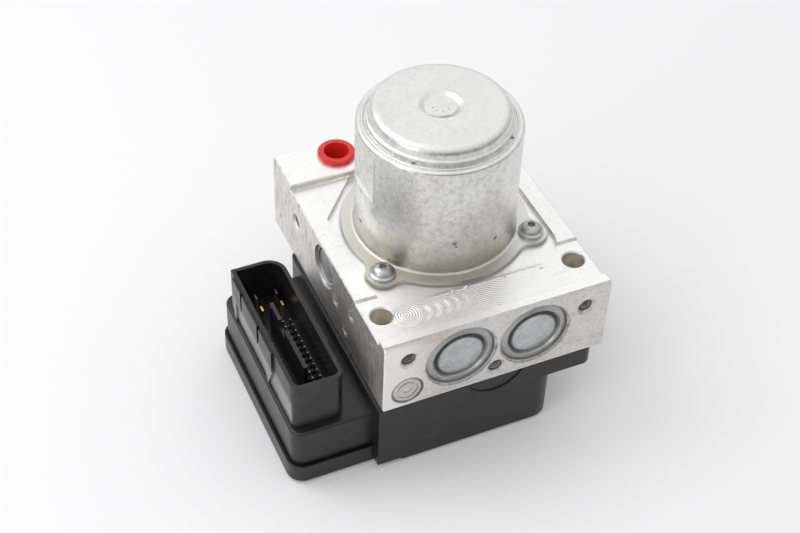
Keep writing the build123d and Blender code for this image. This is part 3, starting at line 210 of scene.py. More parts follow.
class Nodes:
    """Adds nodes to one tree. A method gives its node's output, and takes numbers, colours or outputs."""

    def __init__(self, tree):
        self.tree = tree

    def feed(self, socket, value):
        """Links a socket to an output, or sets its value."""
        if isinstance(value, bpy.types.NodeSocket):
            self.tree.links.new(value, socket)
        elif isinstance(value, tuple) and socket.type == "RGBA":
            socket.default_value = (*value, 1)
        else:
            socket.default_value = value

    def math(self, operation, *values):
        node = self.tree.nodes.new("ShaderNodeMath")
        node.operation = operation
        for socket, value in zip(node.inputs, values):
            self.feed(socket, value)
        return node.outputs[0]

    def times(self, first, second):
        return self.math("MULTIPLY", first, second)

    def plus(self, first, second):
        return self.math("ADD", first, second)

    def minus(self, first, second):
        return self.math("SUBTRACT", first, second)

    def most(self, first, second):
        return self.math("MAXIMUM", first, second)

    def unsigned(self, value):
        return self.math("ABSOLUTE", value)

    def line(self, value, slope, start):
        """The value times a slope, plus a start."""
        return self.math("MULTIPLY_ADD", value, slope, start)

    def layers(self, start, *weighted):
        """A start plus some values, each with its own weight."""
        total = start
        for value, weight in weighted:
            total = self.line(value, weight, total)
        return total

    def mix(self, share, first, second):
        """The first colour at share 0, the second one at share 1."""
        node = self.tree.nodes.new("ShaderNodeMix")
        node.data_type = "RGBA"
        self.feed(node.inputs["Factor"], share)
        self.feed(node.inputs[6], first)
        self.feed(node.inputs[7], second)
        return node.outputs[2]

    def ramp(self, value, stops):
        """A colour ramp through (place, colour) stops."""
        node = self.tree.nodes.new("ShaderNodeValToRGB")
        elements = node.color_ramp.elements
        while len(elements) < len(stops):
            elements.new(0.5)
        for element, (place, colour) in zip(elements, stops):
            element.position = place
            element.color = (*colour, 1)
        self.feed(node.inputs[0], value)
        return node.outputs["Color"]

    def window(self, value, low, high, to_low=0.0, to_high=1.0):
        """Maps low..high of a value to to_low..to_high, smoothly and clamped."""
        node = self.tree.nodes.new("ShaderNodeMapRange")
        node.interpolation_type = "SMOOTHSTEP"
        for socket, number in zip(node.inputs, (value, low, high, to_low, to_high)):
            self.feed(socket, number)
        return node.outputs[0]

    def band(self, value, low, high, soft):
        """1 between low and high, with soft ends."""
        rise = self.window(value, low - soft, low + soft)
        fall = self.window(value, high - soft, high + soft, 1.0, 0.0)
        return self.times(rise, fall)

    def split(self, vector):
        """The X, Y and Z parts of a vector."""
        node = self.tree.nodes.new("ShaderNodeSeparateXYZ")
        self.feed(node.inputs[0], vector)
        return node.outputs[0:3]

    def span(self, x, y, centre=(0.0, 0.0)):
        """The distance from a centre line in one plane."""
        across = self.minus(x, centre[0])
        along = self.minus(y, centre[1])
        return self.math("SQRT", self.line(across, across, self.times(along, along)))

    def stretched(self, vector, size, turn=(0, 0, 0), shift=(0, 0, 0)):
        """Coordinates scaled by size along each axis, then turned and shifted."""
        node = self.tree.nodes.new("ShaderNodeMapping")
        self.feed(node.inputs["Vector"], vector)
        node.inputs["Location"].default_value = shift
        node.inputs["Rotation"].default_value = turn
        node.inputs["Scale"].default_value = size
        return node.outputs[0]

    def noise(self, vector, scale, detail, roughness=0.55, distortion=0.0):
        node = self.tree.nodes.new("ShaderNodeTexNoise")
        settings = {"Vector": vector, "Scale": scale, "Detail": detail, "Roughness": roughness,
                    "Distortion": distortion}
        for name, value in settings.items():
            self.feed(node.inputs[name], value)
        return node.outputs[0]

    def noise_along(self, value, scale, detail, roughness=0.55):
        """Noise that changes with one value only."""
        node = self.tree.nodes.new("ShaderNodeCombineXYZ")
        self.feed(node.inputs[0], value)
        return self.noise(node.outputs[0], scale, detail, roughness)

    def use(self, group, **values):
        """Places a node group with its own values, and gives its outputs."""
        node = self.tree.nodes.new("ShaderNodeGroup")
        node.node_tree = group
        for name, value in values.items():
            self.feed(node.inputs[name], value)
        return node.outputs


class Finish(Nodes):
    """A new material, the point on the piece in metres, and the colour so far."""

    def __init__(self, name, metallic):
        self.material = bpy.data.materials.new(name)
        self.material.use_nodes = True
        super().__init__(self.material.node_tree)
        self.shade = self.tree.nodes["Principled BSDF"]
        self.shade.inputs["Metallic"].default_value = metallic
        self.place = self.tree.nodes.new("ShaderNodeTexCoord").outputs["Object"]
        self.x, self.y, self.z = self.split(self.place)
        self.up = self.facing_up()
        self.colour = None

    def facing_up(self):
        """1 on faces that look up, 0 on the sides."""
        shape = self.tree.nodes.new("ShaderNodeNewGeometry")
        return self.window(self.split(shape.outputs["True Normal"])[2], 0.6, 0.9)

    def paint(self, share, tone):
        """Lays a tone over the colour so far."""
        self.colour = self.mix(share, self.colour, tone)

    def done(self, roughness, height, strength, depth):
        """Joins the colour, the roughness and the bump to the shader, and gives the material."""
        self.feed(self.shade.inputs["Base Color"], self.colour)
        self.feed(self.shade.inputs["Roughness"], roughness)
        bump = self.tree.nodes.new("ShaderNodeBump")
        bump.inputs["Strength"].default_value = strength
        bump.inputs["Distance"].default_value = depth
        self.feed(bump.inputs["Height"], height)
        self.feed(self.shade.inputs["Normal"], bump.outputs[0])
        return self.material


def new_piece(name, form):
    """Turns a finished bmesh into an object at the origin."""
    mesh = bpy.data.meshes.new(name)
    form.to_mesh(mesh)
    form.free()
    piece = bpy.data.objects.new(name, mesh)
    scene.collection.objects.link(piece)
    return piece


# Camera and studio
def photo_camera():
    """A camera at the photograph's place, with its small tilt to one side."""
    back = Vector((
        sin(VIEW_AZIMUTH) * cos(VIEW_ELEVATION),
        -cos(VIEW_AZIMUTH) * cos(VIEW_ELEVATION),
        sin(VIEW_ELEVATION),
    ))
    level = Vector((cos(VIEW_AZIMUTH), sin(VIEW_AZIMUTH), 0))
    above = back.cross(level)
    right = level * cos(VIEW_ROLL) + above * sin(VIEW_ROLL)
    up = above * cos(VIEW_ROLL) - level * sin(VIEW_ROLL)
    lens = bpy.data.cameras.new("photo_camera")
    lens.lens = VIEW_LENS
    camera = bpy.data.objects.new("photo_camera", lens)
    turn = Matrix((right, up, back)).transposed().to_4x4()
    camera.matrix_world = Matrix.Translation(VIEW_TARGET + back * VIEW_DISTANCE) @ turn
    scene.collection.objects.link(camera)
    scene.camera = camera


def pale_room():
    """Soft light from all round, brighter above and behind than on the viewer's side."""
    world = bpy.data.worlds.new("pale_room")
    scene.world = world
    world.use_nodes = True
    room = Nodes(world.node_tree)
    place = room.tree.nodes.new("ShaderNodeTexCoord").outputs["Generated"]
    along_y, along_z = room.split(place)[1:3]
    height_and_depth = room.layers(0.30, (along_z, 0.62), (along_y, 0.22))
    shade = room.tree.nodes["Background"]
    room.feed(shade.inputs["Color"], room.ramp(height_and_depth, ROOM_GLOW))
    shade.inputs["Strength"].default_value = ROOM_STRENGTH


def soft_lamp(name, place, size, watts):
    """A large square lamp that faces the object."""
    light = bpy.data.lights.new(name, "AREA")
    light.size = size
    light.energy = watts
    lamp = bpy.data.objects.new(name, light)
    lamp.location = place
    lamp.rotation_euler = (Vector(LAMP_TARGET) - Vector(place)).to_track_quat("-Z", "Y").to_euler()
    scene.collection.objects.link(lamp)


def pale_floor():
    """The table top: pale, keeps the shadow, and looks a little brighter than the light it gives back."""
    board = bmesh.new()
    bmesh.ops.create_grid(board, x_segments=1, y_segments=1, size=FLOOR_HALF)
    floor = new_piece("floor", board)
    table = Finish("pale_floor", metallic=0.0)
    path = table.tree.nodes.new("ShaderNodeLightPath").outputs
    seen = table.most(path["Is Camera Ray"], path["Is Glossy Ray"])
    seen = table.most(seen, path["Is Transmission Ray"])
    table.feed(table.shade.inputs["Base Color"], FLOOR_TONE)
    table.shade.inputs["Roughness"].default_value = 0.6
    table.shade.inputs["Specular IOR Level"].default_value = 0.2
    table.feed(table.shade.inputs["Emission Color"], (1.0, 1.0, 1.0))
    table.feed(table.shade.inputs["Emission Strength"], table.times(seen, FLOOR_LIFT))
    floor.data.materials.append(table.material)


# Effects that several finishes share
def new_group(name, inputs, outputs):
    """An empty shader node group with a place and some numbers as inputs."""
    tree = bpy.data.node_groups.new(name, "ShaderNodeTree")
    tree.interface.new_socket("place", in_out="INPUT", socket_type="NodeSocketVector")
    for label, value in inputs.items():
        socket = tree.interface.new_socket(label, in_out="INPUT", socket_type="NodeSocketFloat")
        socket.default_value = value
    for label in outputs:
        tree.interface.new_socket(label, in_out="OUTPUT", socket_type="NodeSocketFloat")
    given = tree.nodes.new("NodeGroupInput").outputs
    result = tree.nodes.new("NodeGroupOutput").inputs
    return Nodes(tree), given, result


def handled_group():
    """Clouded tone, small dents and stains of metal that was tumbled and handled."""
    sizes = {"cloud_size": 60.0, "dent_size": 900.0, "stain_size": 45.0}
    effect, given, result = new_group("handled", sizes, ("cloud", "dents", "stain"))
    cloud = effect.noise(given["place"], given["cloud_size"], 6.0, 0.6, 0.3)
    effect.feed(result["cloud"], effect.window(cloud, 0.30, 0.70))
    dents = effect.noise(given["place"], given["dent_size"], 3.0, 0.6)
    effect.feed(result["dents"], effect.window(dents, 0.56, 0.72))
    elsewhere = effect.stretched(given["place"], (1.0, 1.0, 1.7), shift=(3.1, 1.7, 0.4))
    stain = effect.noise(elsewhere, given["stain_size"], 5.0, 0.65, 1.2)
    effect.feed(result["stain"], effect.window(stain, 0.52, 0.72))
    return effect.tree


def scratch_group():
    """Thin scratches that run about one way."""
    effect, given, result = new_group("scratches", {"size": 260.0, "amount": 0.5}, ("lines",))
    lines = effect.noise(given["place"], given["size"], 5.0, 0.7, 0.15)
    low = effect.line(given["amount"], -0.14, 0.70)
    high = effect.plus(low, 0.07)
    effect.feed(result["lines"], effect.window(lines, low, high))
    return effect.tree


def ding_group():
    """Small uneven chips that lie apart from each other."""
    effect, given, result = new_group("dings", {"size": 200.0, "reach": 0.12}, ("chips",))
    warp = effect.noise(given["place"], 1500.0, 3.0, 0.6)
    cells = effect.tree.nodes.new("ShaderNodeTexVoronoi")
    effect.feed(cells.inputs["Vector"], given["place"])
    effect.feed(cells.inputs["Scale"], given["size"])
    from_middle = effect.line(warp, 0.25, cells.outputs["Distance"])
    draw = effect.split(cells.outputs["Color"])[0]
    near = effect.line(given["reach"], draw, 0.06)
    far = effect.plus(near, 0.05)
    effect.feed(result["chips"], effect.window(from_middle, near, far, 1.0, 0.0))
    return effect.tree


handled = handled_group()
scratches = scratch_group()
dings = ding_group()


# The block's finish
def block_tones(metal, wear, mottle, lines, chips):
    """Pale on top, warmer and darker on the sides, with streaks that run along them, chips and mottling."""
    sides = metal.mix(wear["cloud"], SIDE_DARK, SIDE_PALE)
    metal.colour = metal.mix(metal.up, sides, TOP_METAL)
    off_top = metal.line(metal.up, -0.85, 1.0)
    lengthwise = metal.stretched(metal.place, (0.30, 0.30, 1.6), shift=(2.0, 0.7, 1.1))
    streaks = metal.window(metal.noise(lengthwise, 90.0, 6.0, 0.65, 0.8), 0.52, 0.74)
    metal.paint(metal.times(streaks, metal.times(off_top, 0.55)), STREAK_BROWN)
    metal.paint(metal.times(chips, metal.times(off_top, 0.6)), CHIP_DARK)
    metal.paint(metal.times(lines, 0.25), SCRATCH_GREY)
    blotches = metal.window(mottle, 0.44, 0.66, 0.0, 0.50)
    metal.paint(metal.times(blotches, metal.line(metal.up, -0.75, 1.0)), MOTTLE_GREY)


def shade_tapped_holes(metal):
    """Shade in the tapped holes, between the threads' bright crests and the bright chamfers."""
    in_front = metal.band(metal.y, BLOCK_FRONT + FRONT_SHADE_FROM, BLOCK_FRONT + FRONT_SHADE_TO, 0.2 * MM)
    side_end = BLOCK_SIDE - SIDE_SHADE_TO
    in_side = metal.window(metal.unsigned(metal.x), side_end - 0.5 * MM, side_end + 0.5 * MM)
    holes = [(metal.x, centre, in_front) for centre in FRONT_HOLES]
    holes.append((metal.y, SIDE_HOLE, in_side))
    shaded = 0.0
    for across, centre, reach in holes:
        wall = metal.band(metal.span(across, metal.z, centre), *HOLE_WALL, 0.08 * MM)
        shaded = metal.most(shaded, metal.times(wall, reach))
    metal.paint(metal.times(shaded, 0.85), HOLE_SHADE)


def score_sides(metal, on_side):
    """Upright scratches down both side faces, some dark and some bright; gives their height."""
    upright = metal.stretched(metal.place, (1.0, 1.0, 0.16), turn=(0.22, 0, 0))
    scores = metal.noise(upright, 620.0, 7.0, 0.75, 0.2)
    metal.paint(metal.times(metal.window(scores, 0.52, 0.66, 0.0, 0.75), on_side), SCORE_DARK)
    metal.paint(metal.times(metal.window(scores, 0.44, 0.34, 0.0, 0.80), on_side), SCORE_PALE)
    return metal.times(scores, on_side)


def stake_ball_plugs(metal, on_side):
    """Bright uneven metal where the ball plugs are staked in; gives its height."""
    uneven = metal.times(metal.noise(metal.place, 900.0, 4.0, 0.7), STAKE_UNEVEN)
    stakes = 0.0
    for centre in BALL_PLUGS:
        reach = metal.plus(metal.span(metal.y, metal.z, centre), uneven)
        stakes = metal.most(stakes, metal.window(reach, STAKE_REACH + 0.3 * MM, STAKE_REACH - 0.3 * MM))
    stakes = metal.times(stakes, on_side)
    metal.paint(stakes, STAKED_METAL)
    return stakes


def mark_front(metal, mottle):
    """The front face: painted light at its left end, darker round the caps and the plug, with the plug's
    darker face.
    """
    on_front = metal.window(metal.y, BLOCK_FRONT + 0.9 * MM, BLOCK_FRONT + 0.5 * MM)
    # painted light: the front face's left end is painted paler, where more light falls on it
    left_end = metal.window(metal.x, -26 * MM, -46 * MM, 0.0, 0.75)
    metal.paint(metal.times(on_front, left_end), FRONT_LIGHT_PAINT)
    from_cap = metal.span(metal.unsigned(metal.x), metal.z, (CAP_FROM_MIDDLE, CAP_HEIGHT))
    from_plug = metal.span(metal.x, metal.z, PLUG)
    # a darker, uneven outline round the caps and the plug, and the plug's face a little darker
    cap_outline = metal.band(from_cap, CAP_EDGE, CAP_EDGE + 0.6 * MM, 0.25 * MM)
    plug_outline = metal.band(from_plug, PLUG_EDGE - 0.2 * MM, PLUG_EDGE + 0.4 * MM, 0.15 * MM)
    dark_outline = metal.times(metal.most(cap_outline, plug_outline), metal.times(mottle, 1.2))
    plug_face = metal.times(metal.window(from_plug, PLUG_EDGE, PLUG_EDGE - 0.2 * MM), 0.35)
    metal.paint(metal.times(metal.most(dark_outline, plug_face), on_front), CAP_AND_PLUG_DARK)


def mark_seat(metal):
    """Dirt and painted contact shade on the seat, close round the motor's flange and its ears."""
    beside = metal.minus(metal.span(metal.x, metal.y), FLANGE_RADIUS)
    for angle in EAR_ANGLES:
        centre = (EAR_CIRCLE * cos(radians(angle)), EAR_CIRCLE * sin(radians(angle)))
        ear = metal.minus(metal.span(metal.x, metal.y, centre), EAR_RADIUS)
        beside = metal.math("SMOOTH_MIN", beside, ear, EAR_BLEND)
    # painted contact shade, with dirt, in a band close round the flange and its ears
    close = metal.window(beside, FLANGE_DIRT_AND_SHADE_WIDTH, -0.2 * MM, 0.0, 0.75)
    metal.paint(metal.times(close, metal.up), FLANGE_DIRT_AND_SHADE)


def tint_ports(metal):
    """The pipe ports' warm inner walls."""
    from_port = metal.span(metal.unsigned(metal.x), metal.y, PORT)
    inside = metal.window(from_port, PORT_EDGE + 0.3 * MM, PORT_EDGE)
    below_top = metal.window(metal.z, MILLED_TOP, MILLED_TOP - 0.5 * MM)
    metal.paint(metal.times(metal.times(inside, below_top), 0.7), PORT_WALL)


def mark_top_edges(metal):
    """Painted shade behind the front lip, and painted shade behind the pocket's wavy front edge; gives that
    edge's burr.
    """
    # painted shade: a dark line on the top just behind the front lip
    behind_lip = metal.band(metal.y, LIP_REAR - 0.25 * MM, LIP_REAR + 0.15 * MM, 0.1 * MM)
    metal.paint(metal.times(metal.times(metal.up, behind_lip), 0.6), LIP_SHADE)
    wavy = metal.noise_along(metal.x, 330.0, 2.0)
    past_edge = metal.line(wavy, 1.6 * MM, metal.minus(metal.y, POCKET_FRONT + 0.8 * MM))
    along = metal.band(metal.x, WAVY_EDGE_LEFT, WAVY_EDGE_RIGHT, 4 * MM)
    shaded = metal.times(metal.band(past_edge, 0.2 * MM, 1.9 * MM, 0.6 * MM), along)
    metal.paint(metal.times(shaded, metal.times(metal.up, 0.45)), EDGE_SHADE)
    burr = metal.times(metal.band(past_edge, -0.5 * MM, 0.0, 0.15 * MM), along)
    return metal.times(burr, metal.up)


def cutter_rings(metal, x, centre, inner, outer, pitch):
    """The rings that a turning cutter leaves about one centre."""
    reach = metal.span(x, metal.y, centre)
    waves = metal.math("SINE", metal.times(reach, 2 * pi / pitch))
    return metal.times(waves, metal.band(reach, inner, outer, 0.3 * MM))


def cutter_marks(metal):
    """Cutter marks on the milled strip: a swirl by the port, crescents in a row, and a toothed patch."""
    swirl = cutter_rings(metal, metal.x, SWIRL, *SWIRL_RINGS)
    step = metal.math("MODULO", metal.minus(metal.x, CRESCENTS_LEFT), CRESCENT_STEP)
    crescents = cutter_rings(metal, step, CRESCENT, *CRESCENT_RINGS)
    row = metal.band(metal.x, CRESCENTS_LEFT, CRESCENTS_RIGHT, 1.0 * MM)
    teeth = cutter_rings(metal, metal.x, TEETH, *TEETH_RINGS)
    patch = metal.times(metal.band(metal.x, TEETH_LEFT, TEETH_RIGHT, 3.0 * MM), 0.5)
    marks = metal.plus(swirl, metal.times(crescents, row))
    marks = metal.plus(marks, metal.times(teeth, patch))
    in_strip = metal.band(metal.y, LIP_REAR + 0.15 * MM, POCKET_FRONT, 0.2 * MM)
    return metal.times(marks, metal.times(metal.up, in_strip))


def block_aluminium():
    """Sawn and milled aluminium: bright cutter marks on top, dull sides with brown streaks and chips."""
    metal = Finish("block_aluminium", metallic=0.85)
    wear = metal.use(handled, place=metal.place, cloud_size=55.0, dent_size=700.0, stain_size=50.0)
    chips = metal.use(dings, place=metal.place, size=170.0, reach=0.10)["chips"]
    slanted = metal.stretched(metal.place, (0.25, 1.0, 1.0), turn=(0.3, 0.4, 0.9))
    lines = metal.use(scratches, place=slanted, size=420.0, amount=0.6)["lines"]
    grain = metal.noise(metal.stretched(metal.place, (0.10, 1.0, 1.0)), 1600.0, 3.0, 0.6)
    mottle = metal.noise(metal.place, 520.0, 8.0, 0.72)
    on_side = metal.window(metal.unsigned(metal.x), BLOCK_SIDE - 0.7 * MM, BLOCK_SIDE - 0.3 * MM)
    block_tones(metal, wear, mottle, lines, chips)
    shade_tapped_holes(metal)
    scores = score_sides(metal, on_side)
    stakes = stake_ball_plugs(metal, on_side)
    mark_front(metal, mottle)
    mark_seat(metal)
    tint_ports(metal)
    burr = mark_top_edges(metal)
    marks = cutter_marks(metal)
    roughness = metal.layers(0.42, (wear["cloud"], 0.10), (metal.up, -0.12), (metal.unsigned(marks), -0.10))
    height = metal.layers(0.0, (wear["dents"], -0.8), (marks, 3.4), (lines, -0.5), (burr, 4.0), (scores, 2.0),
                          (chips, -1.2), (stakes, 3.0), (grain, 0.6))
    return metal.done(roughness, height, strength=0.45, depth=0.06 * MM)


# The motor can's finish
def can_tones(zinc, cloud, low_down):
    """Clouded zinc, green low down, shaded at the foot in front, grey on the flange, brown in front."""
    zinc.colour = zinc.mix(cloud, ZINC_DARK, ZINC_PALE)
    zinc.paint(zinc.times(zinc.up, 0.5), ZINC_TOP)
    green = zinc.times(low_down, zinc.line(cloud, 0.5, 0.30))
    zinc.paint(zinc.times(green, zinc.window(zinc.x, 30 * MM, 8 * MM, 0.5, 1.0)), ZINC_GREEN)
    foot = zinc.window(zinc.z, SEAT + 3 * MM, SEAT + 20 * MM, 0.42, 0.0)
    foot = zinc.times(foot, zinc.window(zinc.y, 12 * MM, -24 * MM))
    zinc.paint(zinc.times(foot, zinc.window(zinc.x, 28 * MM, 10 * MM)), FOOT_SHADE)
    zinc.paint(zinc.window(zinc.z, SEAT + 2.2 * MM, SEAT + 1.7 * MM, 0.0, 0.60), FLANGE_GREY)
    elsewhere = zinc.stretched(zinc.place, (1.0, 1.0, 0.7), shift=(0.9, 0.2, 0.0))
    brown = zinc.window(zinc.noise(elsewhere, 48.0, 5.0, 0.6, 0.6), 0.44, 0.66)
    brown = zinc.times(brown, zinc.band(zinc.z, BROWN_LOW, BROWN_HIGH, 12 * MM))
    brown = zinc.times(brown, zinc.window(zinc.y, -8 * MM, -26 * MM))
    zinc.paint(zinc.times(brown, 0.60), CLOUD_BROWN)


def spots(zinc, marks):
    """1 close to any of some (x, y, z, radius) places, with soft uneven edges."""
    total = 0.0
    uneven = zinc.times(zinc.noise(zinc.place, 1300.0, 3.0, 0.6), 2.0 * MM)
    for x, y, z, radius in marks:
        offset = zinc.tree.nodes.new("ShaderNodeVectorMath")
        offset.operation = "DISTANCE"
        zinc.feed(offset.inputs[0], zinc.place)
        offset.inputs[1].default_value = (x, y, z)
        reach = zinc.plus(offset.outputs["Value"], uneven)
        total = zinc.most(total, zinc.window(reach, radius + 0.6 * MM, radius + 1.4 * MM, 1.0, 0.0))
    return total


def can_pits(zinc, wall):
    """Dark pits, thickest on the left, chips, the flat's dark outline and single marks."""
    leftward = zinc.window(zinc.x, 6 * MM, -24 * MM, 0.15, 1.0)
    pits = zinc.window(zinc.noise(zinc.place, 1150.0, 5.0, 0.7), 0.56, 0.66)
    pits = zinc.times(pits, zinc.times(leftward, wall))
    chips = zinc.times(zinc.use(dings, place=zinc.place, size=130.0, reach=0.05)["chips"], wall)
    dark = zinc.most(zinc.times(pits, 0.55), zinc.times(chips, 0.6))
    outline = zinc.band(zinc.unsigned(zinc.y), FLAT_HALF - 0.1 * MM, FLAT_HALF + 0.7 * MM, 0.25 * MM)
    outline = zinc.times(outline, zinc.band(zinc.z, FLAT_LOW, FLAT_HIGH, 1.0 * MM))
    outline = zinc.times(outline, zinc.window(zinc.x, -28 * MM, -30 * MM, 0.0, 0.40))
    return zinc.most(dark, zinc.most(outline, spots(zinc, CAN_MARKS)))


def can_zinc():
    """Zinc plated steel: turned rings on top, drawing lines and pits on the wall, green low down."""
    zinc = Finish("can_zinc", metallic=0.9)
    wear = zinc.use(handled, place=zinc.place, cloud_size=42.0, dent_size=1500.0, stain_size=62.0)
    wall = zinc.minus(1.0, zinc.up)
    low_down = zinc.times(zinc.window(zinc.z, SEAT + 2 * MM, SEAT + 26 * MM, 1.0, 0.0),
                          zinc.window(zinc.z, SEAT + 1.6 * MM, SEAT + 2.6 * MM, 0.25, 1.0))
    can_tones(zinc, wear["cloud"], low_down)
    stain = zinc.times(wear["stain"], zinc.line(low_down, 0.45, 0.12))
    zinc.paint(zinc.times(stain, wall), STAIN_BROWN)
    # painted shade: the wall is painted darker towards the can's left side
    zinc.paint(zinc.times(zinc.window(zinc.x, -20 * MM, -33 * MM, 0.0, 0.28), wall), LEFT_SIDE_SHADE)
    pits = can_pits(zinc, wall)
    zinc.paint(pits, PIT_DARK)
    mottle = zinc.noise(zinc.place, 420.0, 8.0, 0.75)
    blotches = zinc.times(zinc.window(mottle, 0.42, 0.64, 0.0, 0.50),
                          zinc.window(zinc.x, 30 * MM, 5 * MM, 0.40, 1.0))
    zinc.paint(blotches, zinc.mix(zinc.up, WALL_BLOTCH, TOP_BLOTCH))
    # fine rings on the top, drawing lines up the wall
    turned = zinc.noise_along(zinc.span(zinc.x, zinc.y), 700.0, 5.0, 0.8)
    drawn = zinc.noise(zinc.stretched(zinc.place, (1.0, 1.0, 0.06)), 900.0, 3.0, 0.6)
    worked = zinc.times(zinc.mix(zinc.up, drawn, turned), zinc.line(zinc.up, 4.0, 1.2))
    roughness = zinc.layers(0.25, (wear["cloud"], 0.10), (drawn, 0.10), (zinc.up, 0.06))
    height = zinc.layers(worked, (wear["dents"], -0.5), (pits, -0.8), (mottle, 0.8))
    return zinc.done(roughness, height, strength=0.40, depth=0.035 * MM)


# The other finishes
def cap_zinc():
    """The caps: a dull blotched disc, sunk inside a pressed ring, with painted shade under the rim and a dark
    line at the edge.
    """
    zinc = Finish("cap_zinc", metallic=0.9)
    wear = zinc.use(handled, place=zinc.place, cloud_size=240.0, dent_size=1100.0, stain_size=160.0)
    reach = zinc.span(zinc.unsigned(zinc.x), zinc.z, (CAP_FROM_MIDDLE, CAP_HEIGHT))
    ring = zinc.band(reach, CAP_DISC, CAP_EDGE, 0.4 * MM)
    zinc.colour = zinc.mix(wear["cloud"], DISC_DARK, DISC_PALE)
    zinc.paint(zinc.times(ring, 0.85), RING_GREY)
    # painted shade: the rim's shadow on the sunk disc's upper left part
    off_middle = zinc.unsigned(zinc.minus(zinc.x, CAP_SHADE_RIGHT))
    under_rim = zinc.span(off_middle, zinc.z, (CAP_FROM_MIDDLE, CAP_HEIGHT - CAP_SHADE_DOWN))
    under_rim = zinc.times(zinc.window(under_rim, CAP_DISC - 2.2 * MM, CAP_DISC - 0.7 * MM),
                           zinc.window(reach, CAP_DISC + 0.3 * MM, CAP_DISC))
    edge = zinc.times(zinc.band(reach, CAP_EDGE - 0.7 * MM, CAP_EDGE + 0.1 * MM, 0.2 * MM), 0.6)
    zinc.paint(zinc.most(under_rim, edge), RIM_SHADE)
    # the pump caps in the side faces are duller
    in_side = zinc.window(reach, CAP_EDGE + 1.0 * MM, CAP_EDGE + 3.0 * MM)
    zinc.paint(zinc.times(in_side, 0.55), SIDE_CAP_GREY)
    flecks = zinc.window(zinc.noise(zinc.place, 900.0, 6.0, 0.7), 0.50, 0.64, 0.0, 0.35)
    zinc.paint(flecks, CAP_FLECK)
    zinc.paint(zinc.times(wear["stain"], 0.25), CAP_STAIN)
    roughness = zinc.layers(0.42, (wear["cloud"], 0.12), (ring, -0.12))
    return zinc.done(roughness, zinc.times(wear["dents"], -1.0), strength=0.25, depth=0.03 * MM)


def plated_steel(name, dark, light, roughness):
    """A smaller plated or ground steel piece, with its own tone."""
    steel = Finish(name, metallic=1.0)
    wear = steel.use(handled, place=steel.place, cloud_size=180.0, dent_size=1400.0, stain_size=160.0)
    steel.colour = steel.mix(wear["cloud"], dark, light)
    steel.paint(steel.times(wear["stain"], 0.2), STEEL_STAIN)
    roughness = steel.line(wear["cloud"], 0.12, roughness)
    return steel.done(roughness, wear["dents"], strength=0.2, depth=0.03 * MM)


def moulded_black():
    """Black moulded plastic: a fine satin grain, pale specks, dust, and a painted sheen on the connector's
    left side.
    """
    plastic = Finish("moulded_black", metallic=0.0)
    wear = plastic.use(handled, place=plastic.place, cloud_size=40.0, dent_size=1100.0, stain_size=70.0)
    plastic.colour = plastic.mix(wear["cloud"], BLACK_DARK, BLACK_PALE)
    # painted reflection: a paler band on the connector's left side, standing in for its sheen
    painted_sheen = plastic.times(plastic.window(plastic.x, SOCKET_LEFT + 0.5 * MM, SOCKET_LEFT),
                           plastic.band(plastic.z, SHEEN_LOW, SHEEN_HIGH, 2.5 * MM))
    plastic.paint(plastic.times(painted_sheen, plastic.line(wear["cloud"], 0.4, 0.5)), BLACK_SHEEN)
    specks = plastic.window(plastic.noise(plastic.place, 800.0, 6.0, 0.75), 0.60, 0.70, 0.0, 0.30)
    plastic.paint(plastic.most(plastic.times(wear["stain"], 0.10), specks), BLACK_DUST)
    gate = plastic.band(plastic.span(plastic.x, plastic.z, GATE_MARK), *GATE_RING, 0.15 * MM)
    gate = plastic.times(gate, plastic.window(plastic.y, SOCKET_FRONT + 0.4 * MM, SOCKET_FRONT + 0.2 * MM))
    plastic.shade.inputs["Specular IOR Level"].default_value = 0.46
    roughness = plastic.line(wear["cloud"], 0.08, 0.31)
    height = plastic.line(gate, -4.0, plastic.noise(plastic.place, 2600.0, 2.0, 0.5))
    return plastic.done(roughness, height, strength=0.15, depth=0.03 * MM)


def plain_plastic(name, dark, light, roughness):
    """A moulded piece of one colour, with soft clouding and a faint grain."""
    plastic = Finish(name, metallic=0.0)
    cloud = plastic.use(handled, place=plastic.place, cloud_size=120.0)["cloud"]
    plastic.colour = plastic.mix(cloud, dark, light)
    roughness = plastic.line(cloud, 0.10, roughness)
    return plastic.done(roughness, plastic.noise(plastic.place, 1800.0, 2.0), strength=0.1, depth=0.02 * MM)


# New pieces
def thread_ridge(form, mouth, inward):
    """Adds the ridge of an M6 thread to a form, from a bore's mouth inward."""
    up = Vector((0, 0, 1))
    first = Vector(mouth) + inward * THREAD_START
    triangle = ((-THREAD_HALF, THREAD_ROOT), (0, THREAD_CREST), (THREAD_HALF, THREAD_ROOT))
    verts = [form.verts.new(first + inward * along + up * reach) for along, reach in triangle]
    edges = [form.edges.new((verts[i], verts[(i + 1) % 3])) for i in range(3)]
    swept = bmesh.ops.spin(
        form,
        geom=verts + edges,
        cent=mouth,
        axis=inward,
        dvec=inward * (THREAD_PITCH / THREAD_STEPS),
        angle=2 * pi * THREAD_TURNS,
        steps=THREAD_STEPS * THREAD_TURNS,
    )
    last = [item for item in swept["geom_last"] if isinstance(item, bmesh.types.BMEdge)]
    bmesh.ops.holes_fill(form, edges=edges + last, sides=3)


def block_threads():
    """The threads in the block's three front holes and two side holes."""
    form = bmesh.new()
    for x, z in FRONT_HOLES:
        thread_ridge(form, (x, BLOCK_FRONT, z), Vector((0, 1, 0)))
    for side in (-1, 1):
        y, z = SIDE_HOLE
        thread_ridge(form, (side * BLOCK_SIDE, y, z), Vector((-side, 0, 0)))
    bmesh.ops.recalc_face_normals(form, faces=form.faces)
    return new_piece("block_threads", form)


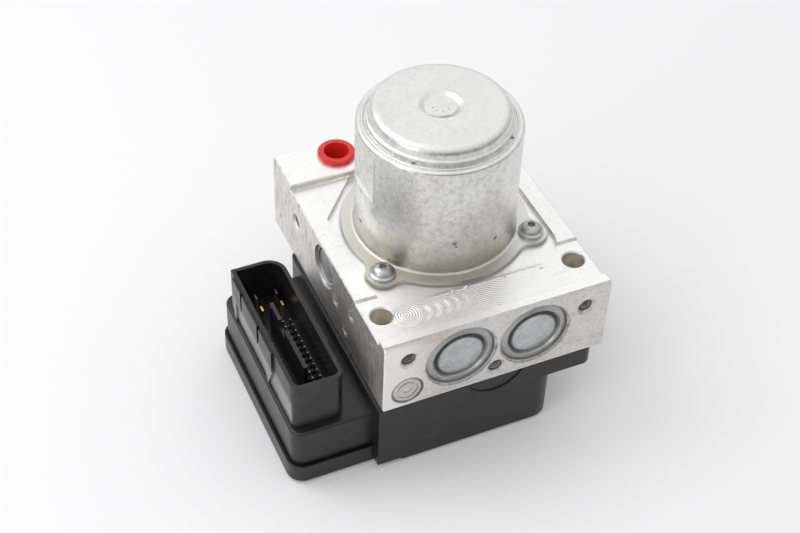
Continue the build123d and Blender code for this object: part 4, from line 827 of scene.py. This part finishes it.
def block_burrs():
    """Small bright burrs that the cutter left along the pocket's front edge."""
    form = bmesh.new()
    for x, y, radius in BURRS:
        burr = Matrix.Translation((x, y, MILLED_TOP)) @ Matrix.Diagonal((1.0, 0.8, 0.8, 1.0))
        bmesh.ops.create_icosphere(form, subdivisions=3, radius=radius, matrix=burr)
    return new_piece("block_burrs", form)


finishes = {
    "block_metal": block_aluminium(),
    "zinc_steel": can_zinc(),
    "screw_steel": plated_steel("screw_zinc", (0.40, 0.41, 0.40), (0.58, 0.59, 0.58), 0.27),
    "cap_steel": cap_zinc(),
    "bright_steel": plated_steel("ground_steel", (0.60, 0.60, 0.60), (0.72, 0.72, 0.72), 0.22),
    "spring_steel": plated_steel("spring_wire", (0.30, 0.30, 0.31), (0.42, 0.42, 0.43), 0.30),
    "laminations": plated_steel("lamination_steel", (0.24, 0.24, 0.25), (0.36, 0.36, 0.37), 0.40),
    "ferrite": plain_plastic("ferrite", (0.035, 0.035, 0.038), (0.060, 0.060, 0.064), 0.65),
    "copper": plated_steel("copper_wire", (0.66, 0.28, 0.12), (0.80, 0.40, 0.20), 0.28),
    "carbon": plain_plastic("carbon", (0.018, 0.018, 0.019), (0.035, 0.035, 0.037), 0.60),
    "black_plastic": moulded_black(),
    "inner_plastic": plain_plastic("inner_plastic", (0.08, 0.08, 0.075), (0.13, 0.13, 0.12), 0.50),
    "red_plastic": plain_plastic("red_plastic", (0.60, 0.012, 0.011), (0.70, 0.030, 0.027), 0.26),
    "seal_rubber": plain_plastic("seal_rubber", (0.015, 0.015, 0.016), (0.028, 0.028, 0.030), 0.60),
    "board_green": plain_plastic("board_green", (0.015, 0.10, 0.040), (0.030, 0.16, 0.070), 0.35),
    "tin_pin": plated_steel("tin_pin", (0.30, 0.30, 0.30), (0.42, 0.42, 0.41), 0.30),
    "gold_pin": plated_steel("gold_pin", (0.80, 0.55, 0.22), (0.92, 0.70, 0.36), 0.22),
}

for part in frame["record"]["subparts"]:
    node = cad_nodes[part["node"]]
    node.data.materials.clear()
    node.data.materials.append(finishes[part["material_slot"]])

for piece in (block_threads(), block_burrs()):
    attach(piece, "module")
    piece.data.materials.append(finishes["block_metal"])

photo_camera()
pale_room()
pale_floor()
for name, (place, size, watts) in LAMPS.items():
    soft_lamp(name, place, size, watts)
